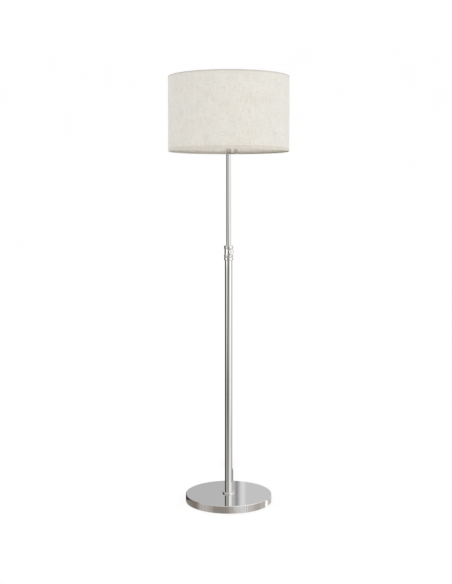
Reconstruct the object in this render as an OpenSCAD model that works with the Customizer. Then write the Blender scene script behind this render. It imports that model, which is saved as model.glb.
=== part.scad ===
// Telescopic floor lamp.
// A weighted round base carries a two-part pole. The thin upper tube slides and turns in
// the lower one and is held by the thumb knob on the clamp collar. On top of it sit a
// pull-chain lamp holder, a wire harp and a linen drum shade.
// Millimetres. The origin is on the floor under the pole's axis, +Z is up, the front
// faces -Y, and the mains lead leaves the base at the back, +Y.

/* [Base] */
// Diameter of the polished base cover
base_d = 286; // [240:1:340]
// Height of the base, from the floor to the top of its cover
base_h = 25; // [24:0.5:36]
// Wall of the pressed cover
cover_wall = 1.2; // [0.8:0.1:2]
// Radius rolled along the cover's upper edge
cover_edge_r = 2; // [1.6:0.1:5]
// Height of the cover's lower rim above the floor
cover_lift = 1; // [0.5:0.1:1.5]
// Thickness of the soft pad under the weight
pad_t = 2; // [1.6:0.1:2.4]
// Distance of the pad's edge inside the cover's edge
pad_inset = 7; // [4:0.5:20]
// Clearance between the weight and the cover's side
weight_gap = 0.4; // [0.2:0.1:1]
// Depth of the hollow cast into the weight's underside
weight_hollow = 13; // [4:0.5:14]
// Width of the weight's rim round that hollow
weight_rim = 14; // [10:1:30]
// How far the turned ring at the pole's foot stands out from the tube
foot_ring_proud = 7.5; // [4:0.5:14]
// Height of the ring at the pole's foot
foot_ring_h = 5; // [3.5:0.5:9]

/* [Pole] */
// Outer diameter of the lower tube
lower_tube_d = 25; // [24:0.5:32]
// Wall of the lower tube
lower_tube_wall = 1.2; // [0.8:0.1:1.6]
// Length of the lower tube
lower_tube_len = 797; // [780:1:900]
// Outer diameter of the upper tube
upper_tube_d = 16; // [14:0.5:17]
// Wall of the upper tube
upper_tube_wall = 1; // [0.8:0.1:1.3]
// Whole length of the upper tube
upper_tube_len = 600; // [560:1:640]
// Length of the upper tube that stands out of the collar as drawn
upper_tube_out = 346; // [320:1:380]
// How far the upper tube can be pushed down from there
slide_down = 280; // [200:1:285]
// Length of the moulded bush on the upper tube's lower end
glide_len = 30; // [16:1:50]
// Sliding clearance between a tube and its bush, at the radius
slide_fit = 0.05; // [0.03:0.01:0.1]
// Clearance between the gliding bush and the lower tube, at the radius
glide_fit = 0.1; // [0.05:0.01:0.3]

/* [Collar and knob] */
// How far the collar's beads stand out from the lower tube
bead_proud = 2.5; // [1.5:0.1:5]
// How far the collar's barrel stands out from the lower tube
barrel_proud = 1.3; // [0.8:0.1:1.4]
// Height of the collar's lowest bead
low_bead_h = 11.5; // [8:0.5:14]
// Height of the bead under the barrel
mid_bead_h = 8.5; // [8:0.5:12]
// Height of the barrel between the beads
barrel_h = 18; // [16:0.5:26]
// Height of the collar's top bead
top_bead_h = 12; // [9:0.5:18]
// Length of the lower tube inside the collar
collar_grip = 18; // [12:0.5:18]
// Diameter of the thumb knob
knob_d = 22; // [16:0.5:30]
// Thickness of the thumb knob at its rim
knob_t = 7.5; // [5:0.5:12]
// Distance from the barrel to the back of the knob
knob_gap = 3.7; // [3:0.1:8]
// Direction of the knob, in degrees from the front towards the right
knob_turn = 22; // [-60:1:60]
// Diameter of the clamp screw
screw_d = 6; // [5:0.5:7]
// Length of the soft tip on the clamp screw
tip_len = 2.5; // [1.5:0.1:2.8]

/* [Lamp holder] */
// Outer diameter of the lamp holder's shell
holder_d = 35; // [34:0.5:38]
// Height of the shell above its cap
shell_h = 40; // [38:0.5:50]
// Height of the cap under the shell
cap_h = 18; // [14:0.5:24]
// Wall of the shell and the cap
holder_wall = 0.7; // [0.5:0.1:1]
// Bore of the screw shell, for a medium screw base lamp
lamp_bore_d = 26.6; // [26.4:0.1:26.9]
// Depth of the screw shell
lamp_bore_h = 22; // [18:0.5:24]
// Height of the screw shell's wide foot, below its thread
lamp_foot_h = 6; // [5.5:0.1:8]
// Distance from the pole's axis to the pull chain
chain_reach = 24; // [23.6:0.1:30]
// Length of the chain below its guide
chain_drop = 37.5; // [24:0.5:60]
// Diameter of one bead of the chain
bead_d = 3; // [2.4:0.1:3.6]
// Length of the chain's end piece
pendant_len = 24; // [14:1:30]
// Diameter of the chain's end piece
pendant_d = 12; // [8:0.5:13]

/* [Harp and shade] */
// Diameter of the drum shade
shade_d = 400; // [320:2:460]
// Height of the drum shade
shade_h = 246; // [200:1:256]
// Thickness of the laminated linen
shade_wall = 1; // [0.6:0.1:2]
// Height of the folded hems
hem_h = 10; // [7:0.5:16]
// Thickness of the folded hems
hem_t = 0.8; // [0.4:0.1:1.5]
// Diameter of the shade's ring and arm wire
frame_wire_d = 3; // [2:0.1:4]
// Depth of the shade's centre washer below its upper rim
recess = 22; // [18:1:34]
// Diameter of the harp's wire
harp_wire_d = 3.6; // [3:0.1:4]
// Width of the harp between its wires' centres
harp_w = 110; // [90:1:140]
// Height of the harp from its saddle to the shade's washer
harp_h = 184; // [170:1:230]
// Spacing of the harp's two feet
harp_foot_w = 48; // [47:0.5:54]
// Height of the finial
finial_h = 17; // [14:0.5:18]

/* [Mains lead] */
// Diameter of the round mains lead
lead_d = 4; // [3:0.1:4.2]
// Height of the lead's outlet above the floor
outlet_z = 6; // [5.2:0.1:6.4]
// Direction of the outlet, in degrees from the back towards the right
outlet_turn = 5; // [0:1:30]
// Length of the strain relief outside the cover
relief_len = 25; // [20:1:40]

/* [Hidden] */
$fn = 96;

// Colours
chrome = "#C4C6C8";
steel = "#A9ABAD";
brass = "#C2A25A";
iron = "#55565A";
linen = "#E2DFD4";
nylon = "#E9E7E0";
bakelite = "#2B2A29";
felt = "#3C3B3A";
lead_grey = "#6A6461";

// Small shared clearances
fit = 0.05;        // between pieces that seat on each other, at the radius
air = 0.1;         // between faces that only just clear
e = 0.02;          // overrun of a cut past a face

// Base
base_r = base_d / 2;
tube_r = lower_tube_d / 2;
tube_ir = tube_r - lower_tube_wall;
nipple_r = 5;
nipple_bore_r = 3.5;
lead_r = lead_d / 2;
lead_bend = 7;                                // bend of the lead under the pole
nipple_z0 = outlet_z + lead_bend - 3;         // lower end of the base nipple
nut_h = 6;
nut_across = 14;
washer_h = 1.5;
washer_r = 13;
pocket_r = 14;
nut_z0 = nipple_z0 + 1;
pocket_z = nut_z0 + nut_h + washer_h;         // roof of the weight's pocket
insert_h = 22;
nipple_top = base_h + insert_h + 3;
groove_w = lead_d + 2.5;

// Strain relief
relief_r = 4.1;
relief_tip_r = lead_r + 0.9;
neck_r = 3.1;
relief_gap = 0.1;
relief_flange = 1.5;
tip_r = base_r + relief_len;                  // radius at which the lead comes free

// Pole
upper_r = upper_tube_d / 2;
upper_ir = upper_r - upper_tube_wall;
collar_z = base_h + lower_tube_len - collar_grip;
collar_h = low_bead_h + mid_bead_h + barrel_h + top_bead_h;
bead_r = tube_r + bead_proud;
barrel_r = tube_r + barrel_proud;
flange_t = 2;
lip_t = 6;
bush_r = tube_r - 1.5;                        // guide bush inside the collar
bush_tail = 10;                               // guide bush inside the lower tube
knob_z = collar_z + low_bead_h + mid_bead_h + barrel_h / 2;
tube_top = collar_z + collar_h + upper_tube_out;
tube_end = tube_top - upper_tube_len;
plug_flange = 3;
stop_t = 2;
glide_z0 = tube_end + 0.2;
stop_z = glide_z0 + glide_len + 0.2;
lead_split_z = slide_down + 8;                // where the slack part of the lead begins
lead_end_z = tube_end - plug_flange;

// Knob
screw_r = screw_d / 2;
screw_tip_r = screw_r - 0.3;
tip_x = upper_r + air;                        // where the soft tip meets the upper tube
knob_x = barrel_r + knob_gap;
knob_r = knob_d / 2;

// Lamp holder
ring_over = 6;                                // check ring's skirt over the tube
ring_t = 2;
check_r = 11;
saddle_t = 2;
saddle_z = tube_top + ring_t;
cap_z = saddle_z + saddle_t;
shell_z = cap_z + cap_h;
shell_top = shell_z + shell_h;
holder_r = holder_d / 2;
liner_t = 0.8;
body_r = holder_r - holder_wall - liner_t - 2 * fit;
lamp_r = lamp_bore_d / 2;
lamp_wall = 0.5;
body_z = cap_z + 8;
lamp_z = shell_top - lamp_bore_h - 2;
guide_z = shell_z + 8;
guide_r = 4.2;
guide_top = guide_z + 7;
guide_low = guide_z - 12;
chain_top = guide_top - 2;
pendant_top = guide_low - chain_drop;

// Harp and shade
washer_z = cap_z + harp_h;                    // underside of the shade's centre washer
harp_r = harp_wire_d / 2;
foot_y = harp_foot_w / 2;
tongue_h = 10;
sleeve_len = 22;
sleeve_travel = 12;
stud_r = 3.1;
hub_h = 6;
hub_r = 6;
shade_r = shade_d / 2;
shade_top = washer_z + recess;
shade_low = shade_top - shade_h;
wire_r = frame_wire_d / 2;
hem_r = shade_r - shade_wall;
frame_ring_r = hem_r - hem_t - wire_r - air;
top_ring_z = shade_top - wire_r - 1.5;
low_ring_z = shade_low + wire_r + 1.5;
washer_t = 2;
washer_disc_r = 12;

// The lead's way over the floor, as steps from the tip of the strain relief.
// Each is sideways, backwards, and the height of its middle above the floor.
cord_steps = [
    [0.35, 4, 6], [0.9, 11, 5.2], [1.2, 20, 3.4], [1, 31, 2.1], [0.6, 44, 2],
    [0.3, 62, 2], [0.2, 84, 2], [0.4, 108, 2], [0.7, 134, 2], [0.9, 160, 2],
    [0.9, 182, 2], [0.4, 196, 2], [-0.6, 209, 2], [-1.3, 219, 2], [-1.5, 228, 2]
];
// The tail from the hank's last run to the plug, as steps from that run's end.
tail_steps = [
    [0, 0, 0], [-0.2, 6, 0], [-1.2, 13, -1.4], [-4, 20, -4.4], [-7.4, 26, -7.2],
    [-9.5, 30, -8.3], [-10, 34, -8.5]
];
relief_tip = [tip_r * sin(outlet_turn), tip_r * cos(outlet_turn), 0];
straight = [0, lead_d, 0];                    // each end runs straight for one diameter

// Hank: the unseen length, folded in long loops of two beside each other, four deep
hank_runs = 13;
hank_run_len = 80;
hank_out = 11.9;                              // end loops, at the middle of the lead
hank_pitch = 4.6;                             // sideways step between loops
hank_layer = 4.5;                             // step between layers
hank_waist = 5;                               // how far the tie draws the loops in
hank_lift = 1.3;                              // how far the tie lifts them
hank_x = relief_tip[0] + cord_steps[len(cord_steps) - 1][0] - hank_out;
hank_y = relief_tip[1] + cord_steps[len(cord_steps) - 1][1] + 2 * lead_d;
run_steps = 6;
bend_steps = 6;
tie_w = 6;
tie_t = 1;
plug_w = 24;
plug_h = 14;
plug_len = 26;
plug_neck = 12;
blade_len = 17;

// ---- Shared functions and shapes ----

function unit(v) = v / norm(v);

// One point of a smooth curve between b and c, with a and d as its neighbours
function blend(a, b, c, d, t) =
    0.5 * (2 * b + (c - a) * t + (2 * a - 5 * b + 4 * c - d) * t * t
        + (3 * b - a - 3 * c + d) * t * t * t);

// A smooth curve through points, with n steps between neighbours
function curve(p, n) = concat(
    [for (i = [0 : len(p) - 2], k = [0 : n - 1])
        blend(p[max(i - 1, 0)], p[i], p[i + 1], p[min(i + 2, len(p) - 1)], k / n)],
    [p[len(p) - 1]]);

// The direction of a path at its point i
function heading(p, i) = unit(p[min(i + 1, len(p) - 1)] - p[max(i - 1, 0)]);

// A round tube of radius r swept along a path. side is a direction that the path never takes.
module swept(path, r, sides, side) {
    n = len(path);
    rings = [for (i = [0 : n - 1])
        let (t = heading(path, i),
             b = unit(side - (side * t) * t),
             c = cross(b, t))
        for (k = [0 : sides - 1])
            path[i] + r * (cos(360 * k / sides) * c + sin(360 * k / sides) * b)];
    walls = [for (i = [0 : n - 2], k = [0 : sides - 1])
        let (a = i * sides + k, b = i * sides + (k + 1) % sides)
        each [[a, b + sides, b], [a, a + sides, b + sides]]];
    caps = [for (k = [1 : sides - 2])
        each [[0, k, k + 1],
              [(n - 1) * sides, (n - 1) * sides + k + 1, (n - 1) * sides + k]]];
    polyhedron(rings, concat(walls, caps));
}

// A pipe along Z
module pipe(r, bore, z0, z1) {
    translate([0, 0, z0]) difference() {
        cylinder(r = r, h = z1 - z0);
        translate([0, 0, -e]) cylinder(r = bore, h = z1 - z0 + 2 * e);
    }
}

// Half section of a disc with its upper edge rounded
module rounded_top(r, h, edge) {
    square([r - edge, h]);
    square([r, h - edge]);
    translate([r - edge, h - edge]) circle(edge);
}

// Half section of a bead with both edges rounded
module bead_section(r, z0, h, edge) {
    translate([0, z0]) square([r - edge, h]);
    translate([0, z0 + edge]) square([r, h - 2 * edge]);
    for (z = [z0 + edge, z0 + h - edge]) translate([r - edge, z]) circle(edge);
}

// Half section of a bore
module bore_section(r, z0, z1) {
    translate([-e, z0]) square([r + e, z1 - z0]);
}

// A torus about Z
module wire_ring(r, z, wire) {
    translate([0, 0, z]) rotate_extrude($fn = 180) translate([r, 0]) circle(wire, $fn = 24);
}

// Puts Z along the screw of the thumb knob, with its zero at the pole's axis
module on_screw_axis() {
    translate([0, 0, knob_z]) rotate([0, 0, knob_turn]) rotate([90, 0, 0]) children();
}

// Puts Z along the lead's outlet, with its zero at the pole's axis
module on_outlet_axis() {
    translate([0, 0, outlet_z]) rotate([0, 0, -outlet_turn]) rotate([-90, 0, 0]) children();
}

// ---- Base ----

module base_pad() {
    color(felt) cylinder(r = base_r - pad_inset, h = pad_t, $fn = 180);
}

module base_weight() {
    r = base_r - cover_wall - weight_gap;
    h = base_h - cover_wall - pad_t;
    color(iron) difference() {
        translate([0, 0, pad_t]) rotate_extrude($fn = 180)
            polygon([[0, 0], [r, 0], [r, h - cover_edge_r], [r - cover_edge_r, h], [0, h]]);
        cylinder(r = nipple_r + 0.2, h = base_h);
        translate([0, 0, pad_t - e]) cylinder(r = pocket_r, h = pocket_z - pad_t + e);
        pipe(r - weight_rim, pocket_r + 10, pad_t - e, pad_t + weight_hollow);
        rotate([0, 0, -outlet_turn]) {
            translate([-groove_w / 2, 0, pad_t - e])
                cube([groove_w, base_r, outlet_z + groove_w / 2 - pad_t]);
            translate([-relief_r - 1, r - relief_flange - 3, pad_t - e])
                cube([2 * relief_r + 2, relief_flange + 5, outlet_z + relief_r + 1 - pad_t]);
        }
    }
}

module base_cover() {
    inner_edge = max(cover_edge_r - cover_wall, 0.3);
    color(chrome) difference() {
        translate([0, 0, cover_lift]) rotate_extrude($fn = 240) difference() {
            rounded_top(base_r, base_h - cover_lift, cover_edge_r);
            translate([0, -e])
                rounded_top(base_r - cover_wall, base_h - cover_lift - cover_wall + e, inner_edge);
        }
        cylinder(r = nipple_r + 0.2, h = base_h + 1);
        on_outlet_axis() translate([0, 0, base_r - 6]) cylinder(r = neck_r + fit, h = 12);
    }
}

module base_nipple() {
    color(steel) pipe(nipple_r, nipple_bore_r, nipple_z0, nipple_top);
}

module base_washer() {
    color(steel) pipe(washer_r, nipple_r + fit, pocket_z - washer_h, pocket_z);
}

module base_nut() {
    color(steel) translate([0, 0, nut_z0]) difference() {
        cylinder(r = nut_across / 2 / cos(30), h = nut_h, $fn = 6);
        translate([0, 0, -e]) cylinder(r = nipple_r + fit, h = nut_h + 2 * e);
    }
}

module foot_ring() {
    r = tube_r + foot_ring_proud;
    color(chrome) translate([0, 0, base_h]) rotate_extrude() difference() {
        rounded_top(r, foot_ring_h, foot_ring_h / 2);
        bore_section(tube_r + fit, -e, foot_ring_h + e);
    }
}

module tube_foot_insert() {
    color(steel) pipe(tube_ir - fit, nipple_r + fit, base_h, base_h + insert_h);
}

// ---- Pole ----

module lower_tube() {
    color(chrome) pipe(tube_r, tube_ir, base_h, base_h + lower_tube_len);
}

module clamp_collar() {
    bush_top = collar_h - lip_t;
    color(chrome) difference() {
        translate([0, 0, collar_z]) rotate_extrude() difference() {
            union() {
                bead_section(bead_r, 0, low_bead_h, 2.4);
                bead_section(bead_r, low_bead_h, mid_bead_h, 2.4);
                translate([0, low_bead_h + mid_bead_h - 1]) square([barrel_r, barrel_h + 2]);
                bead_section(bead_r, collar_h - top_bead_h, top_bead_h, 2.4);
            }
            bore_section(tube_r + fit, -e, collar_grip + flange_t);
            bore_section(bush_r + fit, collar_grip, bush_top);
            bore_section(upper_r + 0.3, collar_grip, collar_h + e);
        }
        on_screw_axis() translate([0, 0, upper_r]) cylinder(r = screw_r + fit, h = bead_r);
    }
}

module guide_bush() {
    low = collar_z + collar_grip;
    top = collar_z + collar_h - lip_t - air;
    bore = upper_r + slide_fit;
    color(nylon) difference() {
        union() {
            pipe(tube_ir - fit, bore, low - bush_tail, low + e);
            pipe(tube_r, bore, low, low + flange_t);
            pipe(bush_r, bore, low + e, top);
        }
        on_screw_axis() cylinder(r = screw_r + 0.2, h = bead_r);
    }
}

module glide_bush() {
    color(nylon) pipe(tube_ir - glide_fit, upper_r + slide_fit, glide_z0, glide_z0 + glide_len);
}

module upper_tube() {
    color(chrome) pipe(upper_r, upper_ir, tube_end, tube_top);
}

module tube_end_plug() {
    color(nylon) difference() {
        union() {
            translate([0, 0, tube_end - plug_flange])
                cylinder(r = tube_ir - 0.7, h = plug_flange);
            translate([0, 0, tube_end - e]) cylinder(r = upper_ir - fit, h = 12);
        }
        translate([0, 0, tube_end - plug_flange - e]) cylinder(r = lead_r + 0.8, h = 20);
    }
}

module stop_ring() {
    color(steel) pipe(tube_ir - 1, upper_r + fit, stop_z, stop_z + stop_t);
}

// ---- Thumb knob ----

module screw_tip() {
    color(nylon) on_screw_axis() translate([0, 0, tip_x]) cylinder(r = screw_tip_r, h = tip_len);
}

module thumb_knob() {
    screw_start = tip_x + tip_len;
    dish = 0.9;
    edge = min(1.8, knob_t / 3);
    dome_r = knob_r * 0.42;
    color(chrome) on_screw_axis() union() {
        translate([0, 0, screw_start]) cylinder(r = screw_r, h = knob_x - screw_start + 1);
        translate([0, 0, knob_x - knob_gap + 1.2]) cylinder(r = screw_r + 1.5, h = knob_gap);
        translate([0, 0, knob_x]) rotate_extrude() {
            difference() {
                bead_section(knob_r, 0, knob_t, edge);
                translate([dome_r - 0.6, knob_t - dish])
                    square([knob_r - edge - 0.4 - dome_r + 0.6, dish + e]);
            }
            intersection() {
                translate([0, knob_t - dish]) scale(1) translate([0, 1.8 - dome_r]) circle(dome_r);
                translate([0, knob_t - dish - 1]) square([dome_r, 4]);
            }
        }
    }
}

// ---- Lead and plug ----

function on_outlet(r, z) = [r * sin(outlet_turn), r * cos(outlet_turn), z];

base_lead_path = concat(
    [for (r = [tip_r, base_r + 8, base_r - 20, base_r * 0.6, base_r * 0.3, lead_bend + 6])
        on_outlet(r, outlet_z)],
    [for (a = [0 : 15 : 90])
        on_outlet(lead_bend * (1 - sin(a)), outlet_z + lead_bend * (1 - cos(a)))],
    [[0, 0, (nipple_top + outlet_z) / 2], [0, 0, lead_split_z]]);

module base_lead() {
    color(lead_grey)
        swept(base_lead_path, lead_r, 8, [cos(outlet_turn), -sin(outlet_turn), 0]);
}

module slack_lead() {
    color(lead_grey) translate([0, 0, lead_split_z])
        cylinder(r = lead_r, h = lead_end_z - lead_split_z);
}

module pole_lead() {
    color(lead_grey) translate([0, 0, lead_end_z]) cylinder(r = lead_r, h = body_z - lead_end_z);
}

module strain_relief() {
    inside = base_r - cover_wall - relief_gap;
    color(lead_grey) on_outlet_axis() rotate_extrude() difference() {
        union() {
            translate([0, inside - relief_flange]) square([relief_r, relief_flange]);
            translate([0, inside - e]) square([neck_r, cover_wall + 2 * relief_gap + 2 * e]);
            polygon([[0, base_r + relief_gap], [relief_r, base_r + relief_gap],
                [relief_r, base_r + 2.5], [relief_tip_r, tip_r], [0, tip_r]]);
        }
        bore_section(lead_r + fit, inside - relief_flange - e, tip_r + e);
    }
}

cord_curve = curve([for (p = cord_steps) relief_tip + p], 3);
cord_path = concat([on_outlet(tip_r, outlet_z)], cord_curve,
    [cord_curve[len(cord_curve) - 1] + straight]);

module cord_lead() {
    color(lead_grey) swept(cord_path, lead_r, 8, [0, 0, 1]);
}

// Radius and layer of the hank's run k. Loops lie outer, inner, then inner, outer.
function run_r(k) = floor((k + 1) / 3) % 2 == 0 ? hank_out : hank_out - hank_pitch;
function run_layer(k) = max(0, floor((min(k, hank_runs - 1) - 1) / 3));
function layer_z(n) = lead_r + n * hank_layer;

// Run k goes back on the right side for even k, and forward on the left for odd k
function run_points(k) =
    let (right = k % 2 == 0, z0 = layer_z(run_layer(k)),
         z1 = layer_z(run_layer(k + 1)))
    [for (i = [0 : run_steps])
        let (s = i / run_steps, w = pow(sin(180 * s), 2), x = run_r(k) - hank_waist * w)
        [hank_x + (right ? x : -x),
         hank_y + hank_run_len * (right ? s : 1 - s),
         z0 + (z1 - z0) * (1 - cos(180 * s)) / 2 + hank_lift * w]];

// The half turn after run k, at the far end for even k and at the near end for odd k
function bend_points(k) =
    let (far = k % 2 == 0, a = run_r(k), b = run_r(k + 1), r = (a + b) / 2, c = (a - b) / 2,
         z = layer_z(run_layer(k + 1)))
    [for (i = [1 : bend_steps - 1])
        let (f = 180 * i / bend_steps)
        [hank_x + (far ? c + r * cos(f) : -c - r * cos(f)),
         hank_y + (far ? hank_run_len + r * sin(f) : -r * sin(f)), z]];

hank_end = run_points(hank_runs - 1)[run_steps];
hank_path = concat(
    [run_points(0)[0] - straight],
    [for (k = [0 : hank_runs - 1], p = concat(run_points(k), k < hank_runs - 1 ? bend_points(k) : []))
        p],
    [for (p = curve([for (q = tail_steps) hank_end + q], 2)) if (p[1] > hank_end[1] + 0.1) p],
    [hank_end + tail_steps[len(tail_steps) - 1] + straight]);
tail_end = hank_path[len(hank_path) - 1];

// The hank's least gap to itself, over its points and the middles between them
hank_dense = [for (i = [0 : len(hank_path) - 2])
    each [hank_path[i], (hank_path[i] + hank_path[i + 1]) / 2]];
hank_gap = min([for (i = [0 : len(hank_dense) - 10])
    min([for (j = [i + 9 : len(hank_dense) - 1]) norm(hank_dense[i] - hank_dense[j])])]) - lead_d;

function path_length(p) = len(p) < 2 ? 0 :
    [for (i = 0, s = 0; i < len(p); i = i + 1, s = s + (i < len(p) ? norm(p[i] - p[i - 1]) : 0)) s]
        [len(p) - 1];

module cord_hank() {
    echo(hank_least_gap = hank_gap, hank_length = path_length(hank_path),
        lead_length = path_length(cord_path));
    color(lead_grey) swept(hank_path, lead_r, 6, [0, 0, 1]);
}

module rounded_frame(w, h, r) {
    for (x = [-1, 1], y = [-1, 1]) translate([x * (w / 2 - r), y * (h / 2 - r)]) circle(r);
    square([w - 2 * r, h], center = true);
    square([w, h - 2 * r], center = true);
}

module hank_tie() {
    w = 2 * (hank_out - hank_waist + lead_r + 0.5);
    low = hank_lift - 0.2;
    top = hank_lift + layer_z(3) + lead_r + 0.1;
    color(felt) translate([hank_x, hank_y + hank_run_len / 2 + tie_w / 2, (low + top) / 2])
        rotate([90, 0, 0]) linear_extrude(tie_w) difference() {
            rounded_frame(w + 2 * tie_t, top - low + 2 * tie_t, 3);
            rounded_frame(w, top - low, 2);
        }
}

module plug_body() {
    grip = 4;
    color(bakelite) translate([tail_end[0], tail_end[1], plug_h / 2]) union() {
        rotate([-90, 0, 0]) cylinder(r1 = lead_r + 0.6, r2 = 5, h = plug_neck + 0.5);
        hull() {
            translate([0, plug_neck + 3, 0]) rotate([-90, 0, 0])
                linear_extrude(1) rounded_frame(plug_w - 8, plug_h - 3, grip);
            translate([0, plug_neck + plug_len - 9, 0]) rotate([-90, 0, 0])
                linear_extrude(9) rounded_frame(plug_w, plug_h, grip);
            translate([0, plug_neck, 0]) rotate([-90, 0, 0])
                linear_extrude(1) rounded_frame(12, plug_h - 4, grip);
        }
    }
}

module plug_blades() {
    spacing = 12.7;
    blade_w = 6.4;
    blade_t = 1.5;
    y = tail_end[1] + plug_neck + plug_len;
    color(brass) for (s = [-1, 1])
        translate([tail_end[0] + s * spacing / 2 - blade_t / 2, y, plug_h / 2 - blade_w / 2])
            difference() {
                union() {
                    cube([blade_t, blade_len - blade_w / 2, blade_w]);
                    translate([0, blade_len - blade_w / 2, blade_w / 2]) rotate([0, 90, 0])
                        cylinder(r = blade_w / 2, h = blade_t, $fn = 32);
                }
                translate([-1, blade_len - blade_w / 2, blade_w / 2]) rotate([0, 90, 0])
                    cylinder(r = 1.6, h = blade_t + 2, $fn = 24);
            }
}

// ---- Top of the pole ----

module tube_top_insert() {
    color(steel) pipe(upper_ir - fit, nipple_r + fit, tube_top - 20, tube_top);
}

module top_nipple() {
    color(steel) pipe(nipple_r, nipple_bore_r, tube_top - 20, body_z - 1);
}

module check_ring() {
    color(chrome) translate([0, 0, tube_top - ring_over]) rotate_extrude() difference() {
        bead_section(check_r, 0, ring_over + ring_t, 2);
        bore_section(upper_r + fit, -e, ring_over);
        bore_section(nipple_r + fit, 0, ring_over + ring_t + e);
    }
}

module harp_saddle() {
    w = 13;
    color(steel) difference() {
        union() {
            translate([-w / 2, -foot_y, saddle_z]) cube([w, harp_foot_w, saddle_t]);
            for (s = [-1, 1]) translate([0, s * foot_y, saddle_z]) {
                cylinder(r = w / 2, h = saddle_t);
                cylinder(r = 2, h = saddle_t + tongue_h);
            }
        }
        translate([0, 0, saddle_z - 1]) cylinder(r = nipple_r + fit, h = saddle_t + 2);
    }
}

// One half of the harp, from its foot to the hub, as points of half width and height
harp_half = let (h = washer_z - cap_z, w = harp_w / 2, foot = tongue_h + 0.2)
    [[foot_y, foot], [foot_y, foot + 9], [foot_y, foot + 18], [foot_y, foot + 27],
     [foot_y + 0.12 * (w - foot_y), foot + 34], [w * 0.8, h * 0.32], [w * 0.96, h * 0.42],
     [w, h * 0.53], [w * 0.95, h * 0.67], [w * 0.78, h * 0.81], [w * 0.5, h * 0.915],
     [w * 0.22, h - hub_h / 2 - 1.2], [0, h - hub_h / 2]];

module harp() {
    side = curve([for (p = harp_half) [0, p[0], cap_z + p[1]]], 2);
    other = [for (i = [len(side) - 2 : -1 : 0]) [0, -side[i][1], side[i][2]]];
    color(steel) union() {
        swept(concat(side, other), harp_r, 10, [1, 0, 0]);
        translate([0, 0, washer_z - hub_h]) cylinder(r = hub_r, h = hub_h);
        translate([0, 0, washer_z - 1]) cylinder(r = stud_r, h = washer_t + finial_h * 0.6 + 1);
    }
}

module harp_sleeve(side) {
    color(brass) translate([0, side * foot_y, 0])
        pipe(harp_r + 1.6, harp_r + 0.4, cap_z + 0.2, cap_z + 0.2 + sleeve_len);
}

module harp_sleeve_front() { harp_sleeve(-1); }

module harp_sleeve_back() { harp_sleeve(1); }

module holder_cap() {
    outer = [[nipple_r + 4, 0], [nipple_r + 5, 0], [holder_r - 3, cap_h * 0.45],
        [holder_r - 0.6, cap_h * 0.72], [holder_r, cap_h - 3], [holder_r, cap_h]];
    color(chrome) translate([0, 0, cap_z]) rotate_extrude() difference() {
        union() {
            polygon(concat([[nipple_r + fit, 0]], outer, [[nipple_r + fit, cap_h]]));
        }
        polygon([[nipple_r + 2, 1.2], [nipple_r + 4.6, 1.2],
            [holder_r - 3 - holder_wall, cap_h * 0.45 + 0.6],
            [holder_r - 0.6 - holder_wall, cap_h * 0.72 + 0.3],
            [holder_r - holder_wall, cap_h - 3], [holder_r - holder_wall, cap_h + e],
            [nipple_r - 1, cap_h + e], [nipple_r - 1, 1.2]]);
    }
}

module holder_shell() {
    color(chrome) difference() {
        translate([0, 0, shell_z]) rotate_extrude() difference() {
            union() {
                square([holder_r, shell_h]);
                for (z = [3, shell_h - 3]) translate([holder_r - 0.3, z]) circle(1.1, $fn = 24);
            }
            bore_section(holder_r - holder_wall, -e, shell_h + e);
        }
        translate([holder_r - 4, 0, guide_z]) rotate([0, 90, 0]) cylinder(r = 3 + fit, h = 8);
    }
}

module holder_liner() {
    r = holder_r - holder_wall - fit;
    color(linen) difference() {
        pipe(r, r - liner_t, shell_z, shell_top - 1);
        translate([holder_r - 6, 0, guide_z]) rotate([0, 90, 0]) cylinder(r = 3 + fit, h = 8);
    }
}

module holder_body() {
    color(bakelite) difference() {
        union() {
            translate([0, 0, body_z]) cylinder(r = nipple_r + 5, h = shell_z - body_z + 1);
            translate([0, 0, shell_z]) cylinder(r = body_r, h = lamp_z - shell_z);
        }
        translate([0, 0, body_z - e]) cylinder(r = nipple_r + 1, h = 0.5);
        translate([body_r - 3, 0, guide_z]) rotate([0, 90, 0]) cylinder(r = 2, h = 6);
    }
}

module terminal_screws() {
    color(brass) for (s = [-1, 1])
        translate([0, s * (nipple_r + 5), body_z + (shell_z - body_z) / 2]) rotate([-90 * s, 0, 0])
            difference() {
                cylinder(r = 2.6, h = 1.6, $fn = 32);
                translate([-4, -0.4, 1]) cube([8, 0.8, 2]);
            }
}

module screw_shell() {
    r = lamp_r + lamp_wall;
    color(brass) translate([0, 0, lamp_z]) rotate_extrude() difference() {
        union() {
            square([r + 0.9, lamp_foot_h + lamp_wall]);
            square([r, lamp_bore_h]);
            translate([0, lamp_bore_h - 0.8]) square([r + 0.9, 0.8]);
        }
        bore_section(r + 0.9 - lamp_wall, -e, lamp_foot_h);
        bore_section(lamp_r, 0, lamp_bore_h + e);
    }
}

module centre_contact() {
    color(brass) translate([0, 0, lamp_z]) {
        cylinder(r = 4.5, h = 1.2);
        translate([0, 0, 1]) cylinder(r1 = 4, r2 = 1.5, h = 2);
    }
}

module chain_guide() {
    stub_x = body_r + 2 * fit;
    color(chrome) difference() {
        union() {
            translate([stub_x, 0, guide_z]) rotate([0, 90, 0])
                cylinder(r = 3, h = chain_reach - stub_x);
            translate([chain_reach, 0, guide_low]) rotate_extrude()
                rounded_top(guide_r, guide_top - guide_low, 2);
            translate([chain_reach, 0, guide_low]) cylinder(r = guide_r + 0.8, h = 1.5);
        }
        translate([chain_reach, 0, guide_low - e])
            cylinder(r = bead_d / 2 + 0.5, h = guide_top - guide_low - 1);
    }
}

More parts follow.
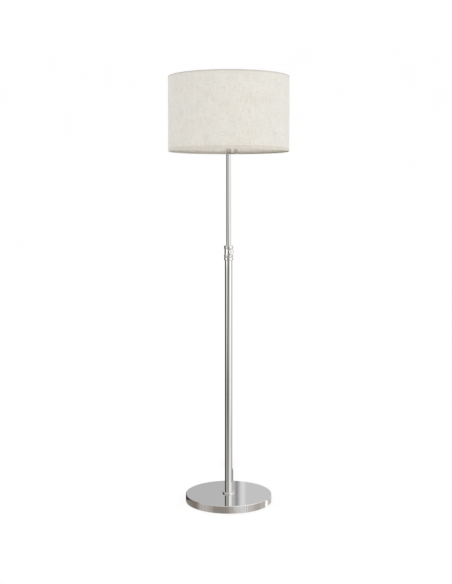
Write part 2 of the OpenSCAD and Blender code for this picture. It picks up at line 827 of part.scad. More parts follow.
module pull_chain() {
    step = bead_d * 1.25;
    length = chain_top - pendant_top;
    count = floor((length - bead_d) / step);
    color(chrome) translate([chain_reach, 0, pendant_top]) {
        cylinder(r = bead_d * 0.2, h = length, $fn = 16);
        for (i = [0 : count]) translate([0, 0, bead_d / 2 + 0.2 + i * step])
            sphere(r = bead_d / 2, $fn = 24);
    }
}

module pull_pendant() {
    r = pendant_d / 2;
    color(chrome) translate([chain_reach, 0, pendant_top - pendant_len]) rotate_extrude() {
        bead_section(r, 0, pendant_len * 0.62, min(1.5, r / 3));
        polygon([[0, pendant_len * 0.5], [r - 0.8, pendant_len * 0.5], [r * 0.45, pendant_len],
            [0, pendant_len]]);
    }
}

// ---- Shade ----

module spider_arm(turn) {
    far = frame_ring_r;
    path = curve([for (p = [[washer_disc_r - 3, 0], [far * 0.45, 0], [far * 0.82, 1],
            [far * 0.94, (top_ring_z - washer_z - 1) * 0.5], [far, top_ring_z - washer_z - 1]])
        [p[0], 0, washer_z + 1 + p[1]]], 3);
    rotate([0, 0, turn]) swept(path, wire_r, 8, [0, 1, 0]);
}

module shade_spider() {
    color(steel) difference() {
        union() {
            wire_ring(frame_ring_r, top_ring_z, wire_r);
            translate([0, 0, washer_z]) cylinder(r = washer_disc_r, h = washer_t);
            for (turn = [30, 150, 270]) spider_arm(turn);
        }
        translate([0, 0, washer_z - 1]) cylinder(r = stud_r + 0.2, h = washer_t + 2);
    }
}

module shade_bottom_ring() {
    color(steel) wire_ring(frame_ring_r, low_ring_z, wire_r);
}

module shade_drum() {
    color(linen) translate([0, 0, shade_low]) difference() {
        cylinder(r = shade_r, h = shade_h, $fn = 240);
        translate([0, 0, -1]) cylinder(r = shade_r - shade_wall, h = shade_h + 2, $fn = 240);
    }
}

module hem(z0) {
    color(linen) translate([0, 0, z0]) difference() {
        cylinder(r = hem_r, h = hem_h, $fn = 240);
        translate([0, 0, -1]) cylinder(r = hem_r - hem_t, h = hem_h + 2, $fn = 240);
    }
}

module shade_top_hem() { hem(shade_top - hem_h); }

module shade_bottom_hem() { hem(shade_low); }

module finial() {
    ball_r = 5.5;
    seat = washer_z + washer_t;
    color(chrome) translate([0, 0, seat]) rotate_extrude() difference() {
        union() {
            bead_section(7, 0, 3.5, 1);
            square([3.9, finial_h - ball_r]);
            intersection() {
                translate([0, finial_h - ball_r]) circle(ball_r);
                square([ball_r + 1, finial_h + 1]);
            }
        }
        bore_section(stud_r + fit, -e, finial_h * 0.6 + 0.5);
    }
}

base_pad();
base_weight();
base_cover();
base_nipple();
base_washer();
base_nut();
foot_ring();
tube_foot_insert();
lower_tube();
clamp_collar();
guide_bush();
base_lead();
strain_relief();
cord_lead();
cord_hank();
hank_tie();
plug_body();
plug_blades();
glide_bush();
slack_lead();
upper_tube();
tube_end_plug();
stop_ring();
pole_lead();
tube_top_insert();
top_nipple();
check_ring();
harp_saddle();
harp();
harp_sleeve_front();
harp_sleeve_back();
holder_cap();
holder_shell();
holder_liner();
holder_body();
screw_shell();
centre_contact();
terminal_screws();
chain_guide();
pull_chain();
pull_pendant();
shade_spider();
shade_bottom_ring();
shade_drum();
shade_top_hem();
shade_bottom_hem();
finial();
screw_tip();
thumb_knob();
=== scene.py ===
"""Telescopic floor lamp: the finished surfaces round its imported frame.

The lamp stands on the floor at z = 0 with the pole's axis through the origin. The photograph
is taken from -Y, and the mains lead leaves the base at the back, +Y. Sizes are in millimetres
in the classes and become metres in the meshes.
"""

import logging
import math
from dataclasses import dataclass
from enum import Enum
from typing import Any, Sequence

import bpy
import numpy as np
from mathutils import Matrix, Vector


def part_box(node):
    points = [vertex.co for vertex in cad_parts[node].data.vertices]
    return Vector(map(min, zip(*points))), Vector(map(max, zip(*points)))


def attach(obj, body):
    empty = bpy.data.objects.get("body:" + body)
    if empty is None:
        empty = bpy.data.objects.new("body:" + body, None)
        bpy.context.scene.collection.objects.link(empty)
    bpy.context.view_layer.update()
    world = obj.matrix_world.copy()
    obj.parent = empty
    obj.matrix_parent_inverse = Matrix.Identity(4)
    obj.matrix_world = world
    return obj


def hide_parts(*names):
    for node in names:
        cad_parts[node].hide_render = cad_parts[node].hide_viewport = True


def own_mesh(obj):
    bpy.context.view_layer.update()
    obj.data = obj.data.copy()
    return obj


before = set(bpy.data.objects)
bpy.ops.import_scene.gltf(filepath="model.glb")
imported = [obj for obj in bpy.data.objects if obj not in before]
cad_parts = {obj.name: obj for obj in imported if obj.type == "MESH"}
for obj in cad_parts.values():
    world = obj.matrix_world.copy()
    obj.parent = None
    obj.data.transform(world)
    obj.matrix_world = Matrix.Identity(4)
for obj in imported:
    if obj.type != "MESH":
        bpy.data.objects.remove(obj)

LOG = logging.getLogger("floor_lamp")
MM = 0.001
ROUND = 160  # segments round a turned piece

Array = np.ndarray


# ---- Meshes ----


@dataclass
class Surface:
    """Points and faces of one surface, in millimetres until it becomes a piece.

    Attributes:
        points: The points, one row each.
        faces: Quads, one row each. A triangle repeats its last point.
        uv: The pattern's place at each corner of each quad, in metres, or None.
        finish: The number of the material of each face.
    """

    points: Array
    faces: Array
    uv: Array | None = None
    finish: Array | None = None

    def joined(self, *others: "Surface") -> "Surface":
        """Puts several surfaces into one.

        Args:
            others: The surfaces to add.

        Returns:
            One surface that holds them all, without pattern places.
        """
        parts = (self, *others)
        starts = np.cumsum([0] + [len(p.points) for p in parts[:-1]])
        finishes = [
            p.finish if p.finish is not None else np.zeros(len(p.faces), int) for p in parts
        ]
        return Surface(
            np.concatenate([p.points for p in parts]),
            np.concatenate([p.faces + s for p, s in zip(parts, starts)]),
            None,
            np.concatenate(finishes),
        )

    def placed(self, matrix: Array, origin: Sequence[float] = (0, 0, 0)) -> "Surface":
        """Turns the surface by a 3 by 3 matrix, and then moves it to origin."""
        return Surface(self.points @ matrix.T + np.array(origin), self.faces, self.uv, self.finish)

    def outwards(self) -> "Surface":
        """Makes the faces point outwards: the volume inside the surface is the sum of the
        signed tetrahedra between the origin and its faces, and it has to be positive.

        Returns:
            The surface itself.
        """
        a, b, c, d = (self.points[self.faces[:, k]] for k in range(4))
        volume = (np.cross(b, c) * a).sum() + (np.cross(c, d) * a).sum()
        if volume < 0:
            turned_over = [1, 0, 3, 2]  # a triangle's last two places stay the same point
            self.faces = self.faces[:, turned_over]
            self.uv = None if self.uv is None else self.uv[:, turned_over]
        return self


def grid_surface(
    grid: Array,
    closed: tuple[bool, bool],
    uv: tuple[Array, Array] | None = None,
    row_finish: Array | None = None,
) -> Surface:
    """Joins a grid of points by quads.

    Args:
        grid: Points in rows and columns, shaped rows by columns by 3.
        closed: Whether the last row meets the first, and the last column the first.
        uv: Places of the columns and of the rows in the pattern, with one more of each
            where that way is closed.
        row_finish: The material's number for each band between two rows.

    Returns:
        The surface, with a quad between each four neighbours.
    """
    rows, columns = grid.shape[:2]
    row = np.arange(rows if closed[0] else rows - 1)
    column = np.arange(columns if closed[1] else columns - 1)
    i, j = (k.ravel() for k in np.meshgrid(row, column, indexing="ij"))
    corners = [(0, 0), (0, 1), (1, 1), (1, 0)]
    faces = np.stack(
        [((i + a) % rows) * columns + (j + b) % columns for a, b in corners], axis=1
    )
    places = None
    if uv is not None:
        places = np.stack(
            [np.stack([uv[0][j + b], uv[1][i + a]], axis=1) for a, b in corners], axis=1
        )
    finish = None if row_finish is None else row_finish[i]
    return Surface(grid.reshape(-1, 3), faces, places, finish)


def arc(
    centre: tuple[float, float], radius: float, start: float, end: float, steps: int = 8
) -> Array:
    """An arc's points: centre + radius (cos a, sin a), a even from start to end in degrees."""
    angle = np.radians(np.linspace(start, end, steps + 1))
    return np.stack(
        [centre[0] + radius * np.cos(angle), centre[1] + radius * np.sin(angle)], axis=1
    )


def rounded(corners: Sequence[tuple[float, float, float]], closed: bool, steps: int = 5) -> Array:
    """Rounds the corners of an outline, each with an arc that touches both its sides.

    The arc leaves each side at radius / tan(half the corner's angle) from the corner.

    Args:
        corners: Across, along, and radius of each corner, in order.
        closed: Whether the last corner is joined to the first.
        steps: Steps of each arc.

    Returns:
        The outline's points.
    """
    table = np.array(corners, float)
    out = []
    for k, (x, y, radius) in enumerate(table):
        end = not closed and k in (0, len(table) - 1)
        if radius <= 0 or end:
            out.append(np.array([[x, y]]))
            continue
        here = np.array([x, y])
        before = table[k - 1, :2] - here
        after = table[(k + 1) % len(table), :2] - here
        before, after = before / np.linalg.norm(before), after / np.linalg.norm(after)
        half = math.acos(float(np.clip(before @ after, -1, 1))) / 2
        middle = (before + after) / np.linalg.norm(before + after)
        centre = here + middle * radius / math.sin(half)
        first = here + before * radius / math.tan(half) - centre
        turn = math.pi - 2 * half
        sign = math.copysign(1, before[0] * after[1] - before[1] * after[0])
        angle = -sign * np.linspace(0, turn, steps + 1)
        out.append(
            centre
            + np.stack(
                [
                    first[0] * np.cos(angle) - first[1] * np.sin(angle),
                    first[0] * np.sin(angle) + first[1] * np.cos(angle),
                ],
                axis=1,
            )
        )
    return np.concatenate(out)


def held(outline: Array, closed: bool, hold: float = 0.12) -> Array:
    """Adds two points to each long side of an outline, near its ends, so that a smooth flat or
    straight wall stays flat up to its rounded edge.

    Args:
        outline: The outline's points.
        closed: Whether the last point is joined to the first.
        hold: How far from the side's ends they lie.

    Returns:
        The outline with those points.
    """
    start = outline if closed else outline[:-1]
    end = np.roll(outline, -1, axis=0) if closed else outline[1:]
    step = end - start
    length = np.linalg.norm(step, axis=1, keepdims=True)
    share = np.where(length > 5 * hold, hold / np.maximum(length, 1e-9), np.nan)
    stack = np.stack([start, start + step * share, end - step * share], axis=1).reshape(-1, 2)
    stack = stack[~np.isnan(stack[:, 0])]
    return stack if closed else np.concatenate([stack, outline[-1:]])


def turned(outline: Array, closed: bool, segments: int = ROUND) -> Surface:
    """Turns an outline round the Z axis: x = r cos(a), y = r sin(a), z as it is.

    Args:
        outline: Radius and height of each point. An open one starts and ends on the axis.
        closed: Whether the outline is a closed section that doesn't touch the axis.
        segments: Segments round the axis.

    Returns:
        A closed surface.
    """
    angle = np.linspace(0, 2 * math.pi, segments, endpoint=False)
    body = outline if closed else outline[1:-1]
    grid = np.stack(
        [
            body[:, :1] * np.cos(angle),
            body[:, :1] * np.sin(angle),
            np.repeat(body[:, 1:], segments, axis=1),
        ],
        axis=2,
    )
    surface = grid_surface(grid, (closed, True))
    if closed:
        return surface.outwards()
    return capped(surface, segments, (0, 0, outline[0, 1]), (0, 0, outline[-1, 1])).outwards()


def capped(
    surface: Surface, columns: int, first: Sequence[float], last: Sequence[float]
) -> Surface:
    """Closes an open tube with a fan of triangles at each end.

    Args:
        surface: The tube, as a grid whose columns are closed.
        columns: How many columns it has.
        first: The middle point of the fan before its first row.
        last: The middle point of the fan after its last row.

    Returns:
        The closed surface.
    """
    count = len(surface.points)
    k = np.arange(columns)
    after = (k + 1) % columns
    near = np.full(columns, count)
    far = np.full(columns, count + 1)
    end = count - columns
    fans = np.concatenate(
        [
            np.stack([after, k, near, near], axis=1),
            np.stack([k + end, after + end, far, far], axis=1),
        ]
    )
    return Surface(
        np.concatenate([surface.points, np.array([first, last], float)]),
        np.concatenate([surface.faces, fans]),
    )


def swept(path: Array, radius: Array | float, side: Sequence[float], sides: int = 12) -> Surface:
    """Carries a circle along a path: each ring lies across the path's direction there, which is
    the step from the point before to the point after.

    Args:
        path: The points to follow.
        radius: The tube's radius, or one for each point.
        side: A direction that the path never takes.
        sides: Points round each ring.

    Returns:
        A closed tube with flat ends.
    """
    heading = np.gradient(path, axis=0)
    heading /= np.linalg.norm(heading, axis=1, keepdims=True)
    hint = np.array(side, float)
    across = hint - (heading @ hint)[:, None] * heading
    across /= np.linalg.norm(across, axis=1, keepdims=True)
    up = np.cross(heading, across)
    angle = np.linspace(0, 2 * math.pi, sides, endpoint=False)
    reach = np.broadcast_to(np.asarray(radius, float), len(path))[:, None, None]
    grid = path[:, None, :] + reach * (
        np.cos(angle)[None, :, None] * across[:, None, :]
        + np.sin(angle)[None, :, None] * up[:, None, :]
    )
    return capped(grid_surface(grid, (False, True)), sides, path[0], path[-1]).outwards()


def smooth_curve(points: Sequence[Sequence[float]], steps: int) -> Array:
    """A smooth line through points: between two of them, the cubic whose slope at each is half
    the step from the point before it to the point after it.

    Args:
        points: The points to pass through.
        steps: Steps between two neighbours.

    Returns:
        The line's points.
    """
    p = np.array(points, float)
    before, after = np.concatenate([p[:1], p[:-1]]), np.concatenate([p[1:], p[-1:]])
    later = np.concatenate([p[2:], p[-1:], p[-1:]])
    t = (np.arange(steps) / steps)[None, :, None]
    a, b, c, d = (q[:-1, None, :] for q in (before, p, after, later))
    line = 0.5 * (
        2 * b
        + (c - a) * t
        + (2 * a - 5 * b + 4 * c - d) * t**2
        + (3 * b - a - 3 * c + d) * t**3
    )
    return np.concatenate([line.reshape(-1, p.shape[1]), p[-1:]])


def about_z(degrees: float) -> Array:
    """The matrix that turns by an angle about Z."""
    c, s = math.cos(math.radians(degrees)), math.sin(math.radians(degrees))
    return np.array([[c, -s, 0], [s, c, 0], [0, 0, 1]])


def make_piece(
    name: str,
    surface: Surface,
    materials: Sequence[bpy.types.Material],
    body: str,
    replaces: Sequence[str] = (),
) -> bpy.types.Object:
    """Makes a smooth piece of the lamp from a surface and reports it.

    Args:
        name: The piece's name.
        surface: Its surface, in millimetres.
        materials: Its materials, by the surface's finish numbers.
        body: The CAD body that it moves with.
        replaces: The CAD nodes that it stands for.

    Returns:
        The new object.
    """
    faces = surface.faces
    three = faces[:, 2] == faces[:, 3]
    counts = np.where(three, 3, 4)
    keep = np.ones(faces.shape, bool)
    keep[three, 3] = False
    mesh = bpy.data.meshes.new(name)
    mesh.vertices.add(len(surface.points))
    mesh.vertices.foreach_set("co", (surface.points * MM).astype(np.float32).ravel())
    mesh.loops.add(int(counts.sum()))
    mesh.loops.foreach_set("vertex_index", faces[keep].astype(np.int32))
    mesh.polygons.add(len(faces))
    mesh.polygons.foreach_set("loop_start", (np.cumsum(counts) - counts).astype(np.int32))
    if surface.finish is not None:
        mesh.polygons.foreach_set("material_index", surface.finish.astype(np.int32))
    if surface.uv is not None:
        mesh.uv_layers.new(name="cloth").data.foreach_set(
            "uv", surface.uv[keep].astype(np.float32).ravel()
        )
    mesh.update(calc_edges=True)
    mesh.validate()
    mesh.shade_smooth()
    for material in materials:
        mesh.materials.append(material)
    piece = bpy.data.objects.new(name, mesh)
    bpy.context.scene.collection.objects.link(piece)
    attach(piece, body)
    if replaces:
        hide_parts(*replaces)
    LOG.info("%s: %d faces on %s", name, len(faces), body)
    return piece


def dress_node(name: str, material: bpy.types.Material) -> None:
    """Gives a CAD node that stays visible a finish in place of its plain one.

    Args:
        name: The node's name.
        material: Its finish.
    """
    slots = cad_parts[name].material_slots
    for place in slots:
        place.material = material
    if not slots:
        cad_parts[name].data.materials.append(material)
    LOG.info("%s: CAD node in %s", name, material.name)


# ---- Finishes ----


def linear(colour: str, strength: float = 1.0) -> tuple[float, float, float, float]:
    """Turns an sRGB hex colour into the linear numbers that the shaders use.

    Args:
        colour: The colour, such as "#E3DFD6".
        strength: A factor on it.

    Returns:
        Red, green, blue and an alpha of 1.
    """
    value = np.array([int(colour[k : k + 2], 16) for k in (1, 3, 5)]) / 255
    value = np.where(value <= 0.04045, value / 12.92, ((value + 0.055) / 1.055) ** 2.4)
    red, green, blue = (strength * value).tolist()
    return red, green, blue, 1.0


def add_node(
    tree: bpy.types.NodeTree, kind: str, inputs: dict[Any, Any] | None = None, **settings: Any
) -> bpy.types.Node:
    """Adds a node with its settings, values and links.

    Args:
        tree: The tree that it goes into.
        kind: The node's type.
        inputs: For each socket, by name or number, a value or a link (node, output).
        settings: The node's own settings. stops sets a colour ramp's places and colours.

    Returns:
        The new node.
    """
    node = tree.nodes.new(kind)
    stops = settings.pop("stops", [])
    for name, value in settings.items():
        setattr(node, name, value)
    if stops:
        ramp = node.color_ramp.elements
        ramp.remove(ramp[1])
        for at, colour in stops:
            stop = ramp[0] if at == stops[0][0] else ramp.new(at)
            stop.position = at
            stop.color = linear(colour) if isinstance(colour, str) else colour
    for key, value in (inputs or {}).items():
        if isinstance(value, tuple) and isinstance(value[0], bpy.types.Node):
            tree.links.new(value[0].outputs[value[1]], node.inputs[key])
        else:
            node.inputs[key].default_value = value
    return node


def start_material(name: str) -> tuple[bpy.types.Material, bpy.types.NodeTree, bpy.types.Node]:
    """A new material with its tree and its shader.

    Args:
        name: The material's name.

    Returns:
        The material, its node tree and its shader.
    """
    material = bpy.data.materials.new(name)
    material.use_nodes = True
    return material, material.node_tree, material.node_tree.nodes["Principled BSDF"]


class Grain(Enum):
    """The way in which a metal was last rubbed, as the streaks' sizes along X, Y and Z in mm."""

    LENGTHWISE = (1.2, 1.2, 90.0)
    ROUND_THE_AXIS = (40.0, 40.0, 0.8)
    NONE = (9.0, 9.0, 9.0)


@dataclass(frozen=True)
class PolishedMetal:
    """A polished or plated metal. It mirrors the studio, and a faint haze of polishing streaks
    and finger marks makes its roughness uneven.

    Attributes:
        name: The material's name.
        colour: Colour of its reflection.
        haze: Roughness of the clean and of the hazy places.
        grain: The way of the polishing streaks.
        ripple_um: Height of the surface's ripple, in thousandths of a millimetre.
    """

    name: str
    colour: str
    haze: tuple[float, float]
    grain: Grain
    ripple_um: float = 0.4

    def material(self) -> bpy.types.Material:
        """Builds the material.

        Returns:
            The material.
        """
        material, tree, shader = start_material(self.name)
        place = add_node(tree, "ShaderNodeTexCoord")
        scale = tuple(1000 / size for size in self.grain.value)
        rubbed = add_node(
            tree, "ShaderNodeMapping", {"Vector": (place, "Object"), "Scale": scale}
        )
        streaks = add_node(
            tree, "ShaderNodeTexNoise", {"Vector": (rubbed, 0), "Scale": 1.0, "Detail": 3.0}
        )
        # Finger marks and dried cleaner, about 25 mm across
        marks = add_node(
            tree,
            "ShaderNodeTexNoise",
            {"Vector": (place, "Object"), "Scale": 40.0, "Detail": 5.0, "Roughness": 0.6},
        )
        cloudy = add_node(
            tree,
            "ShaderNodeMapRange",
            {0: (marks, 0), 1: 0.5, 2: 0.72, 3: 0.0, 4: 0.6},
            interpolation_type="SMOOTHSTEP",
        )
        mixed = add_node(
            tree, "ShaderNodeMath", {0: (streaks, 0), 1: (cloudy, 0)}, operation="ADD"
        )
        rough = add_node(
            tree, "ShaderNodeMapRange",
            {0: (mixed, 0), 1: 0.35, 2: 1.1, 3: self.haze[0], 4: self.haze[1]}
        )
        bump = add_node(
            tree,
            "ShaderNodeBump",
            {"Strength": 0.5, "Distance": self.ripple_um * 1e-6, "Height": (streaks, 0)},
        )
        shader.inputs["Metallic"].default_value = 1.0
        shader.inputs["Base Color"].default_value = linear(self.colour)
        tree.links.new(rough.outputs[0], shader.inputs["Roughness"])
        tree.links.new(bump.outputs[0], shader.inputs["Normal"])
        return material


@dataclass(frozen=True)
class MouldedPlastic:
    """A moulded or extruded plastic: an even colour with a slight cloud, and a spark-eroded grain
    in its gloss.

    Attributes:
        name: The material's name.
        colours: Its darker and its lighter tone.
        roughness: Roughness of the smooth and of the grained places.
        grain_mm: Width of the mould's grain.
        grain_um: Height of the grain, in thousandths of a millimetre.
    """

    name: str
    colours: tuple[str, str]
    roughness: tuple[float, float]
    grain_mm: float
    grain_um: float

    def material(self) -> bpy.types.Material:
        """Builds the material.

        Returns:
            The material.
        """
        material, tree, shader = start_material(self.name)
        place = add_node(tree, "ShaderNodeTexCoord")
        cloud = add_node(
            tree, "ShaderNodeTexNoise", {"Vector": (place, "Object"), "Scale": 60.0, "Detail": 4.0}
        )
        tone = add_node(
            tree,
            "ShaderNodeValToRGB",
            {0: (cloud, 0)},
            stops=[(0.35, self.colours[0]), (0.65, self.colours[1])],
        )
        grain = add_node(
            tree,
            "ShaderNodeTexVoronoi",
            {"Vector": (place, "Object"), "Scale": 1000 / self.grain_mm},
            feature="SMOOTH_F1",
        )
        gloss = add_node(
            tree,
            "ShaderNodeMapRange",
            {0: (grain, 0), 1: 0.1, 2: 0.7, 3: self.roughness[0], 4: self.roughness[1]},
        )
        bump = add_node(
            tree,
            "ShaderNodeBump",
            {"Strength": 0.6, "Distance": self.grain_um * 1e-6, "Height": (grain, 0)},
        )
        tree.links.new(tone.outputs[0], shader.inputs["Base Color"])
        tree.links.new(gloss.outputs[0], shader.inputs["Roughness"])
        tree.links.new(bump.outputs[0], shader.inputs["Normal"])
        return material


@dataclass(frozen=True)
class RoughGoods:
    """A matt stuff with a coarse surface, such as felt, fibre paper, woven tape or the sand
    texture of painted cast iron.

    Attributes:
        name: The material's name.
        colours: Its darker and its lighter tone.
        grain_mm: Size of its grain or fibres along X, Y and Z.
        depth_mm: Depth of its texture.
        fuzz: How much its fibres catch the light at a glancing angle.
    """

    name: str
    colours: tuple[str, str]
    grain_mm: tuple[float, float, float]
    depth_mm: float
    fuzz: float

    def material(self) -> bpy.types.Material:
        """Builds the material.

        Returns:
            The material.
        """
        material, tree, shader = start_material(self.name)
        place = add_node(tree, "ShaderNodeTexCoord")
        scale = tuple(1000 / size for size in self.grain_mm)
        fitted = add_node(tree, "ShaderNodeMapping", {"Vector": (place, "Object"), "Scale": scale})
        grain = add_node(
            tree,
            "ShaderNodeTexNoise",
            {"Vector": (fitted, 0), "Scale": 1.0, "Detail": 4.0, "Roughness": 0.65},
        )
        tone = add_node(
            tree,
            "ShaderNodeValToRGB",
            {0: (grain, 0)},
            stops=[(0.3, self.colours[0]), (0.7, self.colours[1])],
        )
        bump = add_node(
            tree,
            "ShaderNodeBump",
            {"Strength": 0.8, "Distance": self.depth_mm * MM, "Height": (grain, 0)},
        )
        shader.inputs["Roughness"].default_value = 0.92
        shader.inputs["Sheen Weight"].default_value = self.fuzz
        tree.links.new(tone.outputs[0], shader.inputs["Base Color"])
        tree.links.new(bump.outputs[0], shader.inputs["Normal"])
        return material


class ClothSide(Enum):
    """Which side of the shade's laminated cloth a material is for."""

    OUTSIDE = "linen, plain weave with slubs"
    # Its colour is painted lighter than the outside, as light that soaks through the cloth
    INSIDE = "linen seen through its clear backing"
    HEM = "linen turned over the ring"


@dataclass(frozen=True)
class LinenCloth:
    """Natural linen on a clear backing: a plain weave whose hand-spun threads swell into slubs
    along both ways of the cloth, with darker flecks of straw. All sizes are in millimetres.

    Attributes:
        pale: Colour of the bleached threads.
        deep: Colour of the darker threads and slubs.
        fleck: Colour of the flecks.
        inner: Colour of the inside, behind the clear backing, painted lighter than the outside as
            light that soaks through the cloth.
        thread: Spacing of the threads. Real ones lie 0.7 mm apart, which is too fine to show,
            so they are drawn at 1.5 mm.
        weft_slub: Length and width of a slub that runs round the shade.
        warp_slub: Width and length of a slub that runs up the shade.
        hem: Height of the doubled cloth at the lower rim, painted darker as shade where less light
            comes through.
        height: Height of the shade.
        fleck_cell: Width and height of the cells that the flecks are strewn in.
        fleck_share: Share of the cells that hold one.
    """

    pale: str = "#E8E6E0"
    deep: str = "#D6D2C7"
    fleck: str = "#B9AF99"
    inner: str = "#F3F1EE"
    thread: float = 1.5
    weft_slub: tuple[float, float] = (26.0, 2.0)
    warp_slub: tuple[float, float] = (2.0, 34.0)
    hem: float = 11.0
    height: float = 246.0
    fleck_cell: tuple[float, float] = (24.0, 10.0)
    fleck_share: float = 0.14

    def material(self, side: ClothSide) -> bpy.types.Material:
        """Builds the material of one side of the cloth.

        Args:
            side: The side that it is for.

        Returns:
            The material, which reads the piece's "cloth" map in metres.
        """
        material, tree, shader = start_material(f"shade {side.value}")
        cloth = add_node(tree, "ShaderNodeUVMap", uv_map="cloth")
        # Threads wander by about half their spacing
        wander = add_node(
            tree, "ShaderNodeTexNoise", {"Vector": (cloth, 0), "Scale": 55.0, "Detail": 2.0}
        )
        shift = add_node(
            tree,
            "ShaderNodeVectorMath",
            {0: (wander, 1), 1: (self.thread * MM,) * 3},
            operation="MULTIPLY",
        )
        moved = add_node(
            tree, "ShaderNodeVectorMath", {0: (cloth, 0), 1: (shift, 0)}, operation="ADD"
        )
        parts = add_node(tree, "ShaderNodeSeparateXYZ", {0: (moved, 0)})
        waves = []
        for axis in (0, 1):
            phase = add_node(
                tree,
                "ShaderNodeMath",
                {0: (parts, axis), 1: math.pi / (self.thread * MM)},
                operation="MULTIPLY",
            )
            waves.append(add_node(tree, "ShaderNodeMath", {0: (phase, 0)}, operation="SINE"))
        # Over and under: the product of both ways' waves is a soft chequer
        weave = add_node(
            tree, "ShaderNodeMath", {0: (waves[0], 0), 1: (waves[1], 0)}, operation="MULTIPLY"
        )
        lifts = []
        for size in (self.weft_slub, self.warp_slub):
            spun = add_node(
                tree,
                "ShaderNodeMapping",
                {"Vector": (moved, 0), "Scale": (1000 / size[0], 1000 / size[1], 1.0)},
            )
            noise = add_node(
                tree,
                "ShaderNodeTexNoise",
                {"Vector": (spun, 0), "Scale": 1.0, "Detail": 2.0, "Roughness": 0.55},
                noise_dimensions="2D",
            )
            lifts.append(
                add_node(
                    tree,
                    "ShaderNodeMapRange",
                    {0: (noise, 0), 1: 0.5, 2: 0.74},
                    interpolation_type="SMOOTHSTEP",
                )
            )
        slubs = add_node(
            tree, "ShaderNodeMath", {0: (lifts[0], 0), 1: (lifts[1], 0)}, operation="MAXIMUM"
        )
        # The bleach took unevenly, in patches of about 45 mm
        patch = add_node(
            tree,
            "ShaderNodeTexNoise",
            {"Vector": (cloth, 0), "Scale": 22.0, "Detail": 3.0},
            noise_dimensions="2D",
        )
        patchy = add_node(
            tree, "ShaderNodeMapRange", {0: (patch, 0), 1: 0.3, 2: 0.7, 3: 0.0, 4: 0.18}
        )
        woven = add_node(
            tree, "ShaderNodeMapRange", {0: (weave, 0), 1: -1.0, 2: 1.0, 3: 0.16, 4: 0.0}
        )
        deep = add_node(
            tree, "ShaderNodeMath", {0: (slubs, 0), 1: 0.62, 2: (patchy, 0)},
            operation="MULTIPLY_ADD"
        )
        deeper = add_node(
            tree,
            "ShaderNodeMath",
            {0: (deep, 0), 1: (woven, 0)},
            operation="ADD",
            use_clamp=True,
        )
        # Painted light: the inside takes the lighter inner colour, for the light that soaks through
        # the cloth
        tone = add_node(
            tree,
            "ShaderNodeMix",
            {
                0: (deeper, 0),
                6: linear(self.inner if side is ClothSide.INSIDE else self.pale),
                7: linear(self.deep),
            },
            data_type="RGBA",
        )
        # Flecks of straw about 4 mm long, one in each few cells
        wide, tall = self.fleck_cell
        strewn = add_node(
            tree,
            "ShaderNodeMapping",
            {"Vector": (moved, 0), "Scale": (1000 / wide, 1000 / tall, 1.0)},
        )
        cells = add_node(
            tree,
            "ShaderNodeTexVoronoi",
            {"Vector": (strewn, 0), "Scale": 1.0, "Randomness": 1.0},
            voronoi_dimensions="2D",
        )
        picked = add_node(tree, "ShaderNodeSeparateColor", {0: (cells, 1)})
        chosen = add_node(
            tree, "ShaderNodeMath", {0: (picked, 0), 1: self.fleck_share}, operation="LESS_THAN"
        )
        spot = add_node(
            tree,
            "ShaderNodeMapRange",
            {0: (cells, 0), 1: 0.03, 2: 0.15, 3: 0.6, 4: 0.0},
            interpolation_type="SMOOTHSTEP",
        )
        flecked = add_node(
            tree, "ShaderNodeMath", {0: (spot, 0), 1: (chosen, 0)}, operation="MULTIPLY"
        )
        dotted = add_node(
            tree,
            "ShaderNodeMix",
            {0: (flecked, 0), 6: (tone, 2), 7: linear(self.fleck)},
            data_type="RGBA",
        )
        height = add_node(tree, "ShaderNodeSeparateXYZ", {0: (cloth, 0)})
        # Painted shade: the colour is darker over the lower hem, where less light comes through the
        # doubled cloth
        low = add_node(
            tree,
            "ShaderNodeMapRange",
            {0: (height, 1), 1: (self.hem - 0.8) * MM, 2: (self.hem + 0.8) * MM, 3: 1.0, 4: 0.0},
            interpolation_type="SMOOTHSTEP",
        )
        # Painted shade: a thin darker band just below the upper rim
        high = add_node(
            tree,
            "ShaderNodeMapRange",
            {0: (height, 1), 1: (self.height - 6.5) * MM, 2: (self.height - 1.0) * MM},
            interpolation_type="SMOOTHSTEP",
        )
        shaded = dotted
        for share, tint in ((low, "#F8F5F0"), (high, "#E6E4E1")):
            shaded = add_node(
                tree,
                "ShaderNodeMix",
                {0: (share, 0), 6: (shaded, 2), 7: linear(tint)},
                data_type="RGBA",
                blend_type="MULTIPLY",
            )
        relief = add_node(
            tree, "ShaderNodeMath", {0: (slubs, 0), 1: 1.4, 2: (weave, 0)}, operation="MULTIPLY_ADD"
        )
        bump = add_node(
            tree,
            "ShaderNodeBump",
            {"Strength": 0.45, "Distance": 0.12 * MM, "Height": (relief, 0)},
        )
        shader.inputs["Roughness"].default_value = 0.9 if side is ClothSide.OUTSIDE else 0.7
        shader.inputs["Specular IOR Level"].default_value = 0.25
        shader.inputs["Sheen Weight"].default_value = 0.08
        # Light soaks through the cloth, whose two faces lie 1 mm apart
        shader.inputs["Subsurface Weight"].default_value = 0.6
        shader.inputs["Subsurface Radius"].default_value = (1.0, 0.95, 0.86)
        shader.inputs["Subsurface Scale"].default_value = 1.5 * MM
        tree.links.new(shaded.outputs[2], shader.inputs["Base Color"])
        tree.links.new(bump.outputs[0], shader.inputs["Normal"])
        return material


